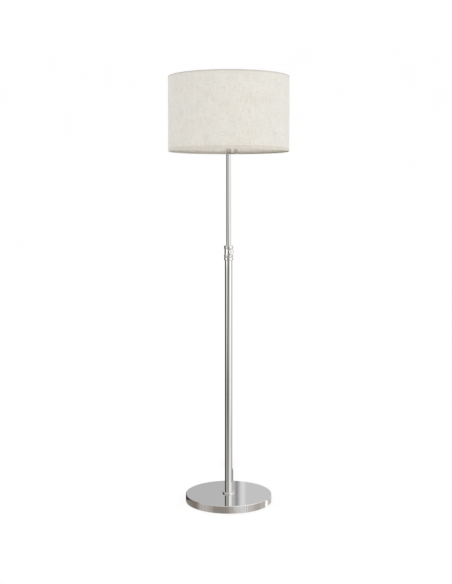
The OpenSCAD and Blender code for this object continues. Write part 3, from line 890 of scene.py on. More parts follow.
class Finishes:
    """The lamp's finishes, each built once."""

    def __init__(self) -> None:
        """Builds them all."""
        # Chrome plate on drawn steel tube: a cold bright mirror with fine lengthwise streaks
        self.tube = PolishedMetal(
            "chrome plate, drawn tube", "#DCDAD7", (0.012, 0.05), Grain.LENGTHWISE
        ).material()
        # Chrome plate on turned brass: the same mirror with the lathe's marks round the axis
        self.turned = PolishedMetal(
            "chrome plate, turned", "#DCDAD7", (0.015, 0.06), Grain.ROUND_THE_AXIS
        ).material()
        # Chrome plate on a pressed and buffed steel cover: a wide mirror with some haze
        self.pressed = PolishedMetal(
            "chrome plate, pressed and buffed", "#D8D8D8", (0.02, 0.07), Grain.NONE, 0.2
        ).material()
        # Bright nickel on spring wire: a little warmer and duller than chrome
        self.nickel = PolishedMetal(
            "nickel plate, wire", "#C9C4BA", (0.12, 0.26), Grain.NONE, 2.0
        ).material()
        # Zinc passivate on steel nuts and nipples: a soft blue-grey shine
        self.zinc = PolishedMetal(
            "zinc plate, turned steel", "#B4B8BB", (0.22, 0.4), Grain.ROUND_THE_AXIS, 3.0
        ).material()
        # Lacquered brass: warm and bright with turning marks
        self.brass = PolishedMetal(
            "brass, turned and lacquered", "#D8BB80", (0.12, 0.28), Grain.ROUND_THE_AXIS, 2.0
        ).material()
        # Nylon 6: milky and slightly soft in its shine
        self.nylon = MouldedPlastic(
            "nylon, moulded", ("#E4E1D8", "#EDEBE4"), (0.3, 0.45), 0.4, 6.0
        ).material()
        # Plasticised PVC: the satin grey-brown skin of a round mains lead
        self.lead = MouldedPlastic(
            "soft PVC, extruded", ("#4B4441", "#5A524E"), (0.35, 0.5), 0.5, 8.0
        ).material()
        # The plug's harder PVC, moulded in a spark-eroded tool
        self.plug = MouldedPlastic(
            "PVC, moulded plug", ("#565150", "#625C5A"), (0.4, 0.6), 0.45, 16.0
        ).material()
        # Phenolic moulding: near black with a dull gloss
        self.bakelite = MouldedPlastic(
            "phenolic, moulded", ("#241F1C", "#2E2825"), (0.22, 0.4), 0.6, 5.0
        ).material()
        # Grey iron casting under a thin black wash: sand texture, no shine
        self.iron = RoughGoods(
            "cast iron, painted", ("#3B3C3E", "#4A4B4D"), (2.0, 2.0, 2.0), 0.25, 0.0
        ).material()
        # Pressed wool felt: dark, with short loose fibres
        self.felt = RoughGoods(
            "felt, pressed", ("#2B2A29", "#3C3A38"), (0.9, 0.9, 0.9), 0.3, 0.5
        ).material()
        # Fibre paper that insulates the holder: brown, calendered
        self.fibre = RoughGoods(
            "fibre paper, pressed", ("#9A7F5C", "#B49A74"), (1.5, 1.5, 6.0), 0.05, 0.0
        ).material()
        # Woven hook-and-loop strap round the hank
        self.strap = RoughGoods(
            "strap, woven nylon", ("#1D1C1C", "#302E2D"), (0.7, 2.5, 0.7), 0.2, 0.3
        ).material()
        cloth = LinenCloth()
        self.linen = {side: cloth.material(side) for side in ClothSide}


# ---- Studio ----


@dataclass(frozen=True)
class Wall:
    """A part of the room that the polished metal mirrors.

    Attributes:
        across: Its lowest and highest direction round the lamp, in degrees from the camera
            towards the right.
        tones: Its brightness at some elevations, in degrees, from the lowest up.
        soft: Width of its soft sides, in degrees.
        up: Its lowest and highest elevation.
        up_soft: Width of its soft lower and upper ends, in degrees.
        tint: Its colour.
    """

    across: tuple[float, float]
    tones: tuple[tuple[float, float], ...]
    soft: float = 3.0
    up: tuple[float, float] = (-95.0, 95.0)
    up_soft: float = 2.0
    tint: str = "#FFFFFF"


@dataclass
class Studio:
    """A white studio: an even light for cloth and paint, a room of drapes, soft boxes and
    walls for the metal to mirror, a pale floor, and the photograph's camera."""

    camera_place: tuple[float, float, float] = (-0.00885, -3.243, 1.0116)
    camera_tilt: float = 88.0
    lens: float = 60.34
    shift: float = -0.1027
    light_level: float = 0.91
    key_power: float = 14.5
    key_size: float = 2.2
    key_place: tuple[float, float, float] = (2.0, -2.75, 1.9)
    key_tilt: float = 78.0
    key_turn: float = 36.0
    floor_reach: float = 9000.0
    floor_flat: float = 6000.0
    floor_bend: float = 3000.0
    floor_gap: float = 0.4
    brightest: float = 1.8
    room: tuple = ((-60, 0.6), (-17, 0.7), (-3, 0.78), (20, 0.85), (60, 1.0), (90, 1.1))
    walls: tuple[Wall, ...] = (
        # White wall on the right, then a grey one towards the camera
        Wall((122, 182), ((-17, 0.7), (-3, 0.7), (2, 1.0), (15, 0.85), (60, 1.0)), 30),
        Wall((77, 130), ((-17, 0.5), (-12, 0.66), (-4, 0.7), (2, 1.03), (50, 1.0)), 22),
        # Large soft box at the front right
        Wall(
            (39, 80), ((-17, 1.1), (-14, 1.0), (-11, 1.35), (-4, 1.7), (0, 1.3), (50, 1.2)), 18
        ),
        Wall((10, 42), ((-17, 1.15), (-12, 1.0), (-4, 1.0), (2, 1.15), (50, 1.0)), 18),
        # The dark side of the room behind the camera
        Wall(
            (-20, 11),
            (
                (-17, 0.45), (-11, 0.22), (-8.6, 0.38), (-4, 0.1), (-2.5, 0.35), (-1, 0.6),
                (40, 0.9),
            ),
            16,
        ),
        # Grey wall at the front left, with a dark rug before it
        Wall(
            (-54, -20), ((-17, 0.42), (-12, 0.12), (-8.6, 0.2), (-4, 0.5), (0, 0.72), (40, 0.9)), 14
        ),
        # Window at the left, with the sky in its upper half
        Wall(
            (-90, -50),
            (
                (-17, 0.5), (-11, 0.66), (-8, 1.0), (-4, 1.15), (-3.6, 1.75), (-3, 1.75),
                (-2.75, 0.7), (0, 0.63), (40, 0.8),
            ),
            14,
        ),
        # Dark drape at the left, and behind as far as the pole's back
        Wall(
            (-175.5, -86), ((-17, 0.02), (4, 0.02), (9, 0.2), (22, 0.5), (60, 0.75)), 5,
            tint="#FFF4EA"
        ),
        # Its folds, a grey screen and two lamps higher up, which the pole's foot mirrors by way
        # of the base
        Wall((-175.5, -92), ((12, 0.03), (24, 0.03)), 5, (14.4, 19.2), 1.2, "#FFF4EA"),
        Wall((-52, 4), ((12, 0.56), (24, 0.56)), 12, (14.4, 19.2), 1.2),
        Wall((25, 60), ((12, 1.75), (24, 1.75)), 12, (14.4, 19.2), 1.2),
        Wall((98, 128), ((12, 1.4), (24, 1.4)), 8, (14.4, 19.2), 1.2),
        # A lamp's bright pane, which only the collar's barrel mirrors
        Wall((-71, -32), ((-5, 1.8), (0, 1.8)), 5, (-3.33, -3.0), 0.08),
        # Far wall behind the lamp, which the top of the base mirrors, with a door's edge
        Wall((120, 185), ((12, 0.66), (30, 0.72)), 3, (12, 34)),
        Wall((122, 179.1), ((12, 0.77), (30, 0.79)), 0.3, (12, 34)),
        Wall((179.28, 179.46), ((12, 0.37), (30, 0.37)), 0.14, (12, 34)),
        Wall((178.86, 179.16), ((12, 0.96), (30, 0.96)), 0.12, (12, 34)),
    )  # fmt: skip
    # Brightness of the floor boards by direction, and the elevations that they fill
    boards: tuple = (
        (-180, 0.7), (-150, 0.4), (-138, 0.35), (-122, 0.31), (-96, 0.29), (-84, 0.55),
        (-72, 0.66), (-51, 0.57), (-40, 0.4), (-28, 0.37), (-8, 0.37), (4, 0.52), (20, 0.76),
        (40, 0.92), (54, 0.78), (70, 0.66), (84, 0.54), (102, 0.69), (113, 0.62), (117, 1.5),
        (126, 1.5), (131, 0.9), (146, 0.62), (153, 0.56), (163, 0.9),
    )  # fmt: skip
    boards_up: tuple[float, float] = (-95.0, -17.3)

    def build(self) -> None:
        """Makes the camera, the world, the light and the floor."""
        self._camera()
        self._world()
        self._key_light()
        self._floor()

    def _camera(self) -> None:
        """Makes the camera that was fitted to the edges of the shade, tubes and base."""
        data = bpy.data.cameras.new("camera")
        data.lens = self.lens
        data.shift_y = self.shift
        data.clip_end = 100.0
        camera = bpy.data.objects.new("camera", data)
        camera.location = self.camera_place
        camera.rotation_euler = (math.radians(self.camera_tilt), 0.0, 0.0)
        bpy.context.scene.collection.objects.link(camera)
        bpy.context.scene.camera = camera

    def _world(self) -> None:
        """Makes the world: white for the camera, the room for reflections, and an even level
        for everything else."""
        world = bpy.data.worlds.new("studio")
        world.use_nodes = True
        bpy.context.scene.world = world
        tree = world.node_tree
        tree.nodes.clear()
        way = add_node(tree, "ShaderNodeTexCoord")
        parts = add_node(tree, "ShaderNodeSeparateXYZ", {0: (way, "Generated")})
        front = add_node(
            tree, "ShaderNodeMath", {0: (parts, 1), 1: -1.0}, operation="MULTIPLY"
        )
        turn = add_node(
            tree, "ShaderNodeMath", {0: (parts, 0), 1: (front, 0)}, operation="ARCTAN2"
        )
        round_about = add_node(tree, "ShaderNodeMath", {0: (turn, 0)}, operation="DEGREES")
        rise = add_node(tree, "ShaderNodeMath", {0: (parts, 2)}, operation="ARCSINE")
        upward = add_node(tree, "ShaderNodeMath", {0: (rise, 0)}, operation="DEGREES")
        height = add_node(
            tree, "ShaderNodeMapRange", {0: (upward, 0), 1: -90.0, 2: 90.0, 3: 0.0, 4: 1.0}
        )
        room = (self._tones(tree, height, self.room, "#FFFFFF"), 0)
        for wall in self.walls:
            tones = self._tones(tree, height, wall.tones, wall.tint)
            inside = self._window(tree, round_about, wall.across, wall.soft)
            inside = self._window(tree, upward, wall.up, wall.up_soft, inside)
            mixed = add_node(
                tree,
                "ShaderNodeMix",
                {0: (inside, 0), 6: room, 7: (tones, 0)},
                data_type="RGBA",
            )
            room = (mixed, 2)
        # Lamps and stands leave no wall evenly lit
        shade = add_node(
            tree, "ShaderNodeTexNoise", {"Vector": (way, "Generated"), "Scale": 2.6, "Detail": 2.0}
        )
        uneven = add_node(
            tree, "ShaderNodeMapRange", {0: (shade, 0), 1: 0.3, 2: 0.7, 3: 0.88, 4: 1.1}
        )
        lit_room = add_node(
            tree, "ShaderNodeVectorMath", {0: room, 3: (uneven, 0)}, operation="SCALE"
        )
        room = (lit_room, 0)
        # The floor boards by direction, with streaks of grain about three degrees wide
        bearing = add_node(
            tree, "ShaderNodeMapRange", {0: (round_about, 0), 1: -180.0, 2: 180.0, 3: 0.0, 4: 1.0}
        )
        boards = add_node(
            tree,
            "ShaderNodeValToRGB",
            {0: (bearing, 0)},
            stops=[
                ((at + 180) / 360, linear(self._wood(level), level / self.brightest))
                for at, level in self.boards
            ],
        )
        grain = add_node(
            tree,
            "ShaderNodeTexNoise",
            {"W": (round_about, 0), "Scale": 0.3, "Detail": 2.0},
            noise_dimensions="1D",
        )
        streak = add_node(
            tree, "ShaderNodeMapRange", {0: (grain, 0), 1: 0.3, 2: 0.7, 3: 0.82, 4: 1.14}
        )
        grained = add_node(
            tree, "ShaderNodeVectorMath", {0: (boards, 0), 3: (streak, 0)}, operation="SCALE"
        )
        # Far boards look brown, and the ceiling's light washes the near ones out
        brown = add_node(
            tree, "ShaderNodeMapRange", {0: (upward, 0), 1: -21.0, 2: -18.5, 3: 0.2, 4: 1.0}
        )
        washed = add_node(
            tree, "ShaderNodeHueSaturation", {"Saturation": (brown, 0), "Color": (grained, 0)}
        )
        low = self._window(tree, upward, self.boards_up, 0.15)
        mixed = add_node(
            tree,
            "ShaderNodeMix",
            {0: (low, 0), 6: room, 7: (washed, 0)},
            data_type="RGBA",
        )
        room = (mixed, 2)
        path = add_node(tree, "ShaderNodeLightPath")
        mirrored = add_node(tree, "ShaderNodeBackground", {0: room, 1: self.brightest})
        even = add_node(tree, "ShaderNodeBackground", {0: linear("#FFFFFF"), 1: self.light_level})
        white = add_node(tree, "ShaderNodeBackground", {0: linear("#FFFFFF"), 1: 1.0})
        lit = add_node(
            tree, "ShaderNodeMixShader",
            {0: (path, "Is Glossy Ray"), 1: (even, 0), 2: (mirrored, 0)}
        )
        clear = add_node(
            tree,
            "ShaderNodeMath",
            {0: (path, "Is Camera Ray"), 1: (path, "Is Transmission Ray")},
            operation="MAXIMUM",
        )
        seen = add_node(tree, "ShaderNodeMixShader", {0: (clear, 0), 1: (lit, 0), 2: (white, 0)})
        add_node(tree, "ShaderNodeOutputWorld", {0: (seen, 0)})

    @staticmethod
    def _wood(level: float) -> str:
        """The tint of the boards: brown where they are dark, and pale where they shine."""
        return "#FFF1E4" if level < 0.45 else "#FFF7EF" if level < 0.7 else "#FFFCF8"

    def _tones(
        self, tree: bpy.types.NodeTree, height: bpy.types.Node, tones: tuple, tint: str
    ) -> bpy.types.Node:
        """A ramp of brightness over the elevation, as a share of the brightest level.

        Args:
            tree: The tree that it goes into.
            height: The node that gives the elevation, from 0 straight down to 1 straight up.
            tones: Elevations in degrees, each with its brightness.
            tint: The colour.

        Returns:
            The ramp's node.
        """
        return add_node(
            tree,
            "ShaderNodeValToRGB",
            {0: (height, 0)},
            stops=[((at + 90) / 180, linear(tint, level / self.brightest)) for at, level in tones],
        )

    @staticmethod
    def _window(
        tree: bpy.types.NodeTree,
        angle: bpy.types.Node,
        span: tuple[float, float],
        soft: float,
        share: bpy.types.Node | None = None,
    ) -> bpy.types.Node:
        """How far an angle lies within a span: 1 inside, 0 outside, and an S curve between.

        Args:
            tree: The tree that it goes into.
            angle: The node that gives the angle, in degrees.
            span: The span's ends.
            soft: Width of its soft ends.
            share: Another share to multiply by.

        Returns:
            The node that gives the share.
        """
        middle, half = (span[0] + span[1]) / 2, (span[1] - span[0]) / 2
        off = add_node(tree, "ShaderNodeMath", {0: (angle, 0), 1: middle}, operation="SUBTRACT")
        turn = add_node(
            tree, "ShaderNodeMath", {0: (off, 0), 1: 180.0, 2: -180.0}, operation="WRAP"
        )
        far = add_node(tree, "ShaderNodeMath", {0: (turn, 0)}, operation="ABSOLUTE")
        return add_node(
            tree,
            "ShaderNodeMapRange",
            {
                0: (far, 0),
                1: half - soft / 2,
                2: half + soft / 2,
                3: (share, 0) if share else 1.0,
                4: 0.0,
            },
            interpolation_type="SMOOTHSTEP",
        )

    def _key_light(self) -> None:
        """Makes a large soft light at the right, which leaves the shade's left side darker."""
        data = bpy.data.lights.new("key", "AREA")
        data.shape = "DISK"
        data.size = self.key_size
        data.energy = self.key_power
        light = bpy.data.objects.new("key", data)
        light.location = self.key_place
        light.rotation_euler = (math.radians(self.key_tilt), 0.0, math.radians(self.key_turn))
        light.visible_glossy = False
        bpy.context.scene.collection.objects.link(light)

    def _floor(self) -> None:
        """Makes the floor, a wide sheet that rises at the back in a quarter circle. For the
        camera it is nearly the background's white, and it keeps a faint shadow."""
        across = np.linspace(-self.floor_reach, self.floor_reach, 13)
        flat = np.linspace(-self.floor_reach, self.floor_flat, 16)
        bend = arc((self.floor_flat, self.floor_bend), self.floor_bend, -90, 0, 12)
        line = np.concatenate([np.stack([flat, np.zeros(len(flat))], axis=1), bend[1:]])
        line[:, 1] -= self.floor_gap
        shape = (len(line), len(across))
        sides = (across[None, :], line[:, :1], line[:, 1:])
        grid = np.stack([np.broadcast_to(side, shape) for side in sides], axis=2)
        surface = grid_surface(grid, (False, False))
        mesh = bpy.data.meshes.new("floor")
        mesh.from_pydata(surface.points * MM, [], surface.faces.tolist())
        mesh.shade_smooth()
        floor = bpy.data.objects.new("floor", mesh)
        floor.visible_glossy = False
        bpy.context.scene.collection.objects.link(floor)
        material, tree, shader = start_material("paper floor, matt white")
        mottle = add_node(tree, "ShaderNodeTexNoise", {"Scale": 3.0, "Detail": 3.0})
        place = add_node(tree, "ShaderNodeTexCoord")
        tree.links.new(place.outputs["Object"], mottle.inputs["Vector"])
        tone = add_node(
            tree,
            "ShaderNodeValToRGB",
            {0: (mottle, 0)},
            stops=[(0.3, "#F6F6F6"), (0.7, "#FAFAFA")],
        )
        tree.links.new(tone.outputs[0], shader.inputs["Base Color"])
        shader.inputs["Roughness"].default_value = 1.0
        shader.inputs["Specular IOR Level"].default_value = 0.0
        glow = add_node(tree, "ShaderNodeEmission", {0: linear("#FFFFFF"), 1: 1.03})
        path = add_node(tree, "ShaderNodeLightPath")
        share = add_node(
            tree, "ShaderNodeMath", {0: (path, "Is Camera Ray"), 1: 0.82}, operation="MULTIPLY"
        )
        seen = add_node(
            tree, "ShaderNodeMixShader", {0: (share, 0), 1: (shader, 0), 2: (glow, 0)}
        )
        tree.links.new(seen.outputs[0], tree.nodes["Material Output"].inputs[0])
        mesh.materials.append(material)


# ---- Mains lead ----


@dataclass
class MainsLead:
    """A round 4 mm mains lead. It leaves the back of the base, runs straight back over the
    floor where the pole hides it, and the rest lies folded in a hank with the plug behind."""

    radius: float = 2.0
    outlet_turn: float = 5.0
    outlet_z: float = 6.0
    base_r: float = 143.0
    tip_r: float = 168.0
    steps: tuple = (
        (0.35, 4, 6), (0.9, 11, 5.2), (1.2, 20, 3.4), (1, 31, 2.1), (0.6, 44, 2),
        (0.3, 62, 2), (0.2, 84, 2), (0.4, 108, 2), (0.7, 134, 2), (0.9, 160, 2),
        (0.9, 182, 2), (0.4, 196, 2), (-0.6, 209, 2), (-1.3, 219, 2), (-1.5, 228, 2),
    )  # fmt: skip
    tail: tuple = (
        (0, 0, 0), (-0.2, 6, 0), (-1.2, 13, -1.4), (-4, 20, -4.4), (-7.4, 26, -7.2),
        (-9.5, 30, -8.3), (-10, 34, -8.5),
    )  # fmt: skip
    runs: int = 13
    run_length: float = 80.0
    outer: float = 11.9
    pitch: float = 4.6
    layer: float = 4.5
    waist: float = 5.0
    lift: float = 1.3
    strap_width: float = 6.0
    plug_length: float = 38.0
    plug_z: float = 7.0
    blade_length: float = 17.0
    blade_half: float = 3.2
    blade_off: float = 6.35
    hole_at: float = 13.8
    hole_r: float = 1.6

    def outlet(self, distance: float) -> Array:
        """The point on the outlet's axis at a distance from the pole's axis."""
        turn = math.radians(self.outlet_turn)
        return np.array([distance * math.sin(turn), distance * math.cos(turn), self.outlet_z])

    def _run(self, k: int, steps: int = 14) -> Array:
        """Run k of the hank: straight between two end loops, drawn in and lifted at the waist
        by the square of a sine, and climbing to the next layer along half a cosine.

        Args:
            k: The run's number.
            steps: Steps along it.

        Returns:
            Its points.
        """
        s = np.linspace(0, 1, steps + 1)
        draw = np.sin(math.pi * s) ** 2
        reach = self._loop(k) - self.waist * draw
        low, high = self._height(k), self._height(k + 1)
        z = low + (high - low) * (1 - np.cos(math.pi * s)) / 2 + self.lift * draw
        side, along = (1, s) if k % 2 == 0 else (-1, 1 - s)
        x0, y0 = self._hank_place()
        return np.stack([x0 + side * reach, y0 + self.run_length * along, z], axis=1)

    def _bend(self, k: int, steps: int = 10) -> Array:
        """The half turn after run k: a half circle whose centre lets it join two loops of
        different radius.

        Args:
            k: The run's number.
            steps: Steps round the bend.

        Returns:
            Its points.
        """
        a, b = self._loop(k), self._loop(k + 1)
        mean, off = (a + b) / 2, (a - b) / 2
        angle = np.linspace(0, math.pi, steps + 1)[1:-1]
        x0, y0 = self._hank_place()
        sign, start = (1, self.run_length) if k % 2 == 0 else (-1, 0.0)
        return np.stack(
            [
                x0 + sign * (off + mean * np.cos(angle)),
                y0 + start + sign * mean * np.sin(angle),
                np.full(len(angle), self._height(k + 1)),
            ],
            axis=1,
        )

    def _loop(self, k: int) -> float:
        """Half width of run k: outer, inner, then inner, outer."""
        return self.outer if ((k + 1) // 3) % 2 == 0 else self.outer - self.pitch

    def _height(self, k: int) -> float:
        """Height of the middle of run k's lead."""
        return self.radius + self.layer * max(0, (min(k, self.runs - 1) - 1) // 3)

    def _hank_place(self) -> tuple[float, float]:
        """Middle of the hank's width, and where its runs start."""
        tip, end = self.outlet(self.tip_r), self.steps[-1]
        return tip[0] + end[0] - self.outer, tip[1] + end[1] + 4 * self.radius

    def route(self) -> Array:
        """The middle line of the whole lead, from the strain relief's tip to the plug.

        Returns:
            The line's points.
        """
        tip = self.outlet(self.tip_r)
        floor_tip = tip * np.array([1, 1, 0])
        straight = np.array([[0, 2 * self.radius, 0]])
        lead = smooth_curve(floor_tip + np.array(self.steps), 4)
        hank = [self._run(0)]
        for k in range(1, self.runs):
            hank += [self._bend(k - 1), self._run(k)]
        end = hank[-1][-1]
        tail = smooth_curve(end + np.array(self.tail), 4)
        tail = tail[tail[:, 1] > end[1] + 0.1]
        return np.concatenate(
            [tip[None], lead, lead[-1:] + straight, *hank, tail, tail[-1:] + straight]
        )

    def build(self, look: Finishes) -> None:
        """Args:
            look: The finishes.
        """
        path = self.route()
        path = path[np.r_[True, np.linalg.norm(np.diff(path, axis=0), axis=1) > 0.05]]
        lead = make_piece(
            "mains_lead",
            swept(path, self.radius, (0, 0, 1), 14),
            [look.lead],
            "root",
            ["cord_lead", "cord_hank"],
        )
        pieces = [
            self._relief(look), self._strap(look), self._plug(path[-1], look),
            self._blades(path[-1], look)
        ]

    def _relief(self, look: Finishes) -> bpy.types.Object:
        """The strain relief: a tapered sleeve with five grooves that let it bend.

        Args:
            look: The finishes.

        Returns:
            The piece.
        """
        b = self.base_r
        along = np.linspace(b + 3.0, self.tip_r - 1.0, 41)
        taper = np.interp(along, [b + 3.0, self.tip_r], [4.1, 2.9])
        groove = 0.55 * np.clip(np.sin((along - b - 3.0) * 2 * math.pi / 4.2), 0, 1) ** 2
        outside = np.stack([taper - groove, along], axis=1)
        head = rounded([(2.05, b - 3, 0), (4.1, b - 3, 0.3), (4.1, b - 1.4, 0.2)], False, 3)
        neck = np.array([[3.1, b - 1.3], [3.1, b + 0.1], [4.1, b + 0.15], [4.1, b + 2.5]])
        mouth = rounded(
            [(2.9, self.tip_r - 0.6, 0), (2.9, self.tip_r, 0.4), (2.05, self.tip_r, 0)], False, 3
        )
        outline = np.concatenate([head, neck, outside, mouth])
        turn = math.radians(self.outlet_turn)
        # Columns: where the sleeve's own X, Y and Z point
        to = np.array([math.sin(turn), math.cos(turn), 0.0])
        side = np.array([math.cos(turn), -math.sin(turn), 0.0])
        matrix = np.stack([side, np.cross(to, side), to], axis=1)
        surface = turned(outline, True, 48).placed(matrix, (0, 0, self.outlet_z))
        return make_piece(
            "cord_relief", surface, [look.lead], "root", ["strain_relief"]
        )

    def _strap(self, look: Finishes) -> bpy.types.Object:
        """The strap round the hank: a rounded oblong carried across its own width.

        Args:
            look: The finishes.

        Returns:
            The piece.
        """
        x0, y0 = self._hank_place()
        half = self.outer - self.waist + self.radius + 0.5
        low = self.lift - 0.2
        top = self.lift + self._height(10) + self.radius + 0.1
        middle = y0 + self.run_length / 2
        inner = rounded([(-half, low, 2), (half, low, 2), (half, top, 2), (-half, top, 2)], True, 6)
        outer = rounded(
            [
                (-half - 1, low - 1, 3),
                (half + 1, low - 1, 3),
                (half + 1, top + 1, 3),
                (-half - 1, top + 1, 3),
            ],
            True,
            6,
        )
        w = self.strap_width / 2
        rings = [(inner, -w), (outer, -w), (outer, w), (inner, w)]
        grid = np.stack(
            [
                np.stack([x0 + ring[:, 0], np.full(len(ring), middle + at), ring[:, 1]], axis=1)
                for ring, at in rings
            ]
        )
        band = grid_surface(grid, (True, True)).outwards()
        return make_piece("hank_strap", band, [look.strap], "root", ["hank_tie"])

    def _plug(self, end: Array, look: Finishes) -> bpy.types.Object:
        """The plug: superellipse sections carried along its length, from the round neck with
        its bend grooves to the wide flat grip.

        Args:
            end: The lead's last point.
            look: The finishes.

        Returns:
            The piece.
        """
        along = np.array([0, 2, 3.5, 5, 6.5, 8, 9.5, 11, 12, 14, 17, 21, 26, 31, 35, 37, 38.0])
        wide = np.array(
            [2.6, 3.2, 3.3, 2.9, 3.8, 3.2, 4.3, 4.4, 6.0, 8.2, 9.6, 11, 12, 12, 11.9, 11.6, 10.8]
        )
        high = np.array(
            [2.6, 3.2, 3.3, 2.9, 3.8, 3.2, 4.3, 4.6, 5.2, 5.8, 6.3, 6.7, 6.6, 6.9, 7, 6.8, 6.2]
        )
        fine = np.linspace(0, self.plug_length, 96)
        wide, high = np.interp(fine, along, wide), np.interp(fine, along, high)
        power = np.interp(fine, [0, 11, 20, self.plug_length], [1, 1, 0.6, 0.5])[:, None]
        columns = 72
        angle = np.linspace(0, 2 * math.pi, columns, endpoint=False)[None]
        c, s = np.cos(angle), np.sin(angle)
        grid = np.stack(
            [
                end[0] + wide[:, None] * np.sign(c) * np.abs(c) ** power,
                np.broadcast_to(end[1] + fine[:, None], (len(fine), columns)),
                self.plug_z + high[:, None] * np.sign(s) * np.abs(s) ** power,
            ],
            axis=2,
        )
        tail = (end[0], end[1], self.plug_z)
        face = (end[0], end[1] + self.plug_length, self.plug_z)
        surface = capped(grid_surface(grid, (False, True)), columns, tail, face).outwards()
        return make_piece("mains_plug", surface, [look.plug], "root", ["plug_body"])

    def _blades(self, end: Array, look: Finishes) -> bpy.types.Object:
        """The plug's two flat blades: a rounded outline carried through 1.5 mm, with a
        bevelled rim and a hole near the tip.

        Args:
            end: The lead's last point.
            look: The finishes.

        Returns:
            The piece.
        """
        y0 = end[1] + self.plug_length
        long, half = self.blade_length, self.blade_half
        outline = rounded(
            [(0, -half, 0.1), (long, -half, 3.1), (long, half, 3.1), (0, half, 0.1)], True, 9
        )
        angle = np.arctan2(outline[:, 1], outline[:, 0] - self.hole_at)
        hole = np.stack(
            [self.hole_at + self.hole_r * np.cos(angle), self.hole_r * np.sin(angle)], axis=1
        )
        inset = outline + (np.array([long / 2, 0]) - outline) * [0.03, 0.06]
        blades = []
        for side in (-1, 1):
            x = end[0] + side * self.blade_off
            rings = [
                (hole, -0.75), (inset, -0.75), (outline, -0.5),
                (outline, 0.5), (inset, 0.75), (hole, 0.75),
            ]  # fmt: skip
            grid = np.stack(
                [
                    np.stack(
                        [np.full(len(r), x + at), y0 + r[:, 0] - 0.5, self.plug_z + r[:, 1]], axis=1
                    )
                    for r, at in rings
                ]
            )
            blades.append(grid_surface(grid, (True, True)).outwards())
        return make_piece(
            "plug_pins", blades[0].joined(blades[1]), [look.brass], "root", ["plug_blades"]
        )


# ---- Base ----


@dataclass
class WeightedBase:
    """The round base: a felt pad, a hollow iron weight, a pressed chrome cover over it, and the
    turned ring at the pole's foot."""

    radius: float = 143.0
    height: float = 25.0
    wall: float = 1.2
    edge: float = 2.0
    rim_z: float = 1.0
    bore: float = 5.2
    ring_r: float = 20.0
    ring_h: float = 5.0
    tube_r: float = 12.5

    def build(self, look: Finishes) -> None:
        """Makes the cover and the foot ring, and dresses what they hide.

        Args:
            look: The finishes.
        """
        r, w, h, z = self.radius, self.wall, self.height, self.rim_z
        section = rounded(
            [
                (self.bore, h, 0.1), (r, h, self.edge), (r, z, 0.45), (r - w, z, 0.45),
                (r - w, h - w, self.edge - w), (self.bore, h - w, 0.1),
            ],
            True,
            7,
        )  # fmt: skip
        cover = turned(held(section, True), True, 320)
        make_piece("base_shell", cover, [look.pressed], "root", ["base_cover"])
        ring = rounded(
            [
                (self.tube_r + 0.05, h, 0.05), (self.ring_r, h, 0.05),
                (self.ring_r, h + self.ring_h, self.ring_h / 2),
                (self.tube_r + 0.05, h + self.ring_h, 0.3),
            ],
            True,
            10,
        )  # fmt: skip
        make_piece(
            "pole_foot_ring", turned(held(ring, True), True), [look.turned], "root",
            ["foot_ring"]
        )
        dress_node("base_pad", look.felt)
        dress_node("base_weight", look.iron)
        for name in ("base_nipple", "base_washer", "base_nut", "tube_foot_insert"):
            dress_node(name, look.zinc)
        dress_node("base_lead", look.lead)


# ---- Pole ----


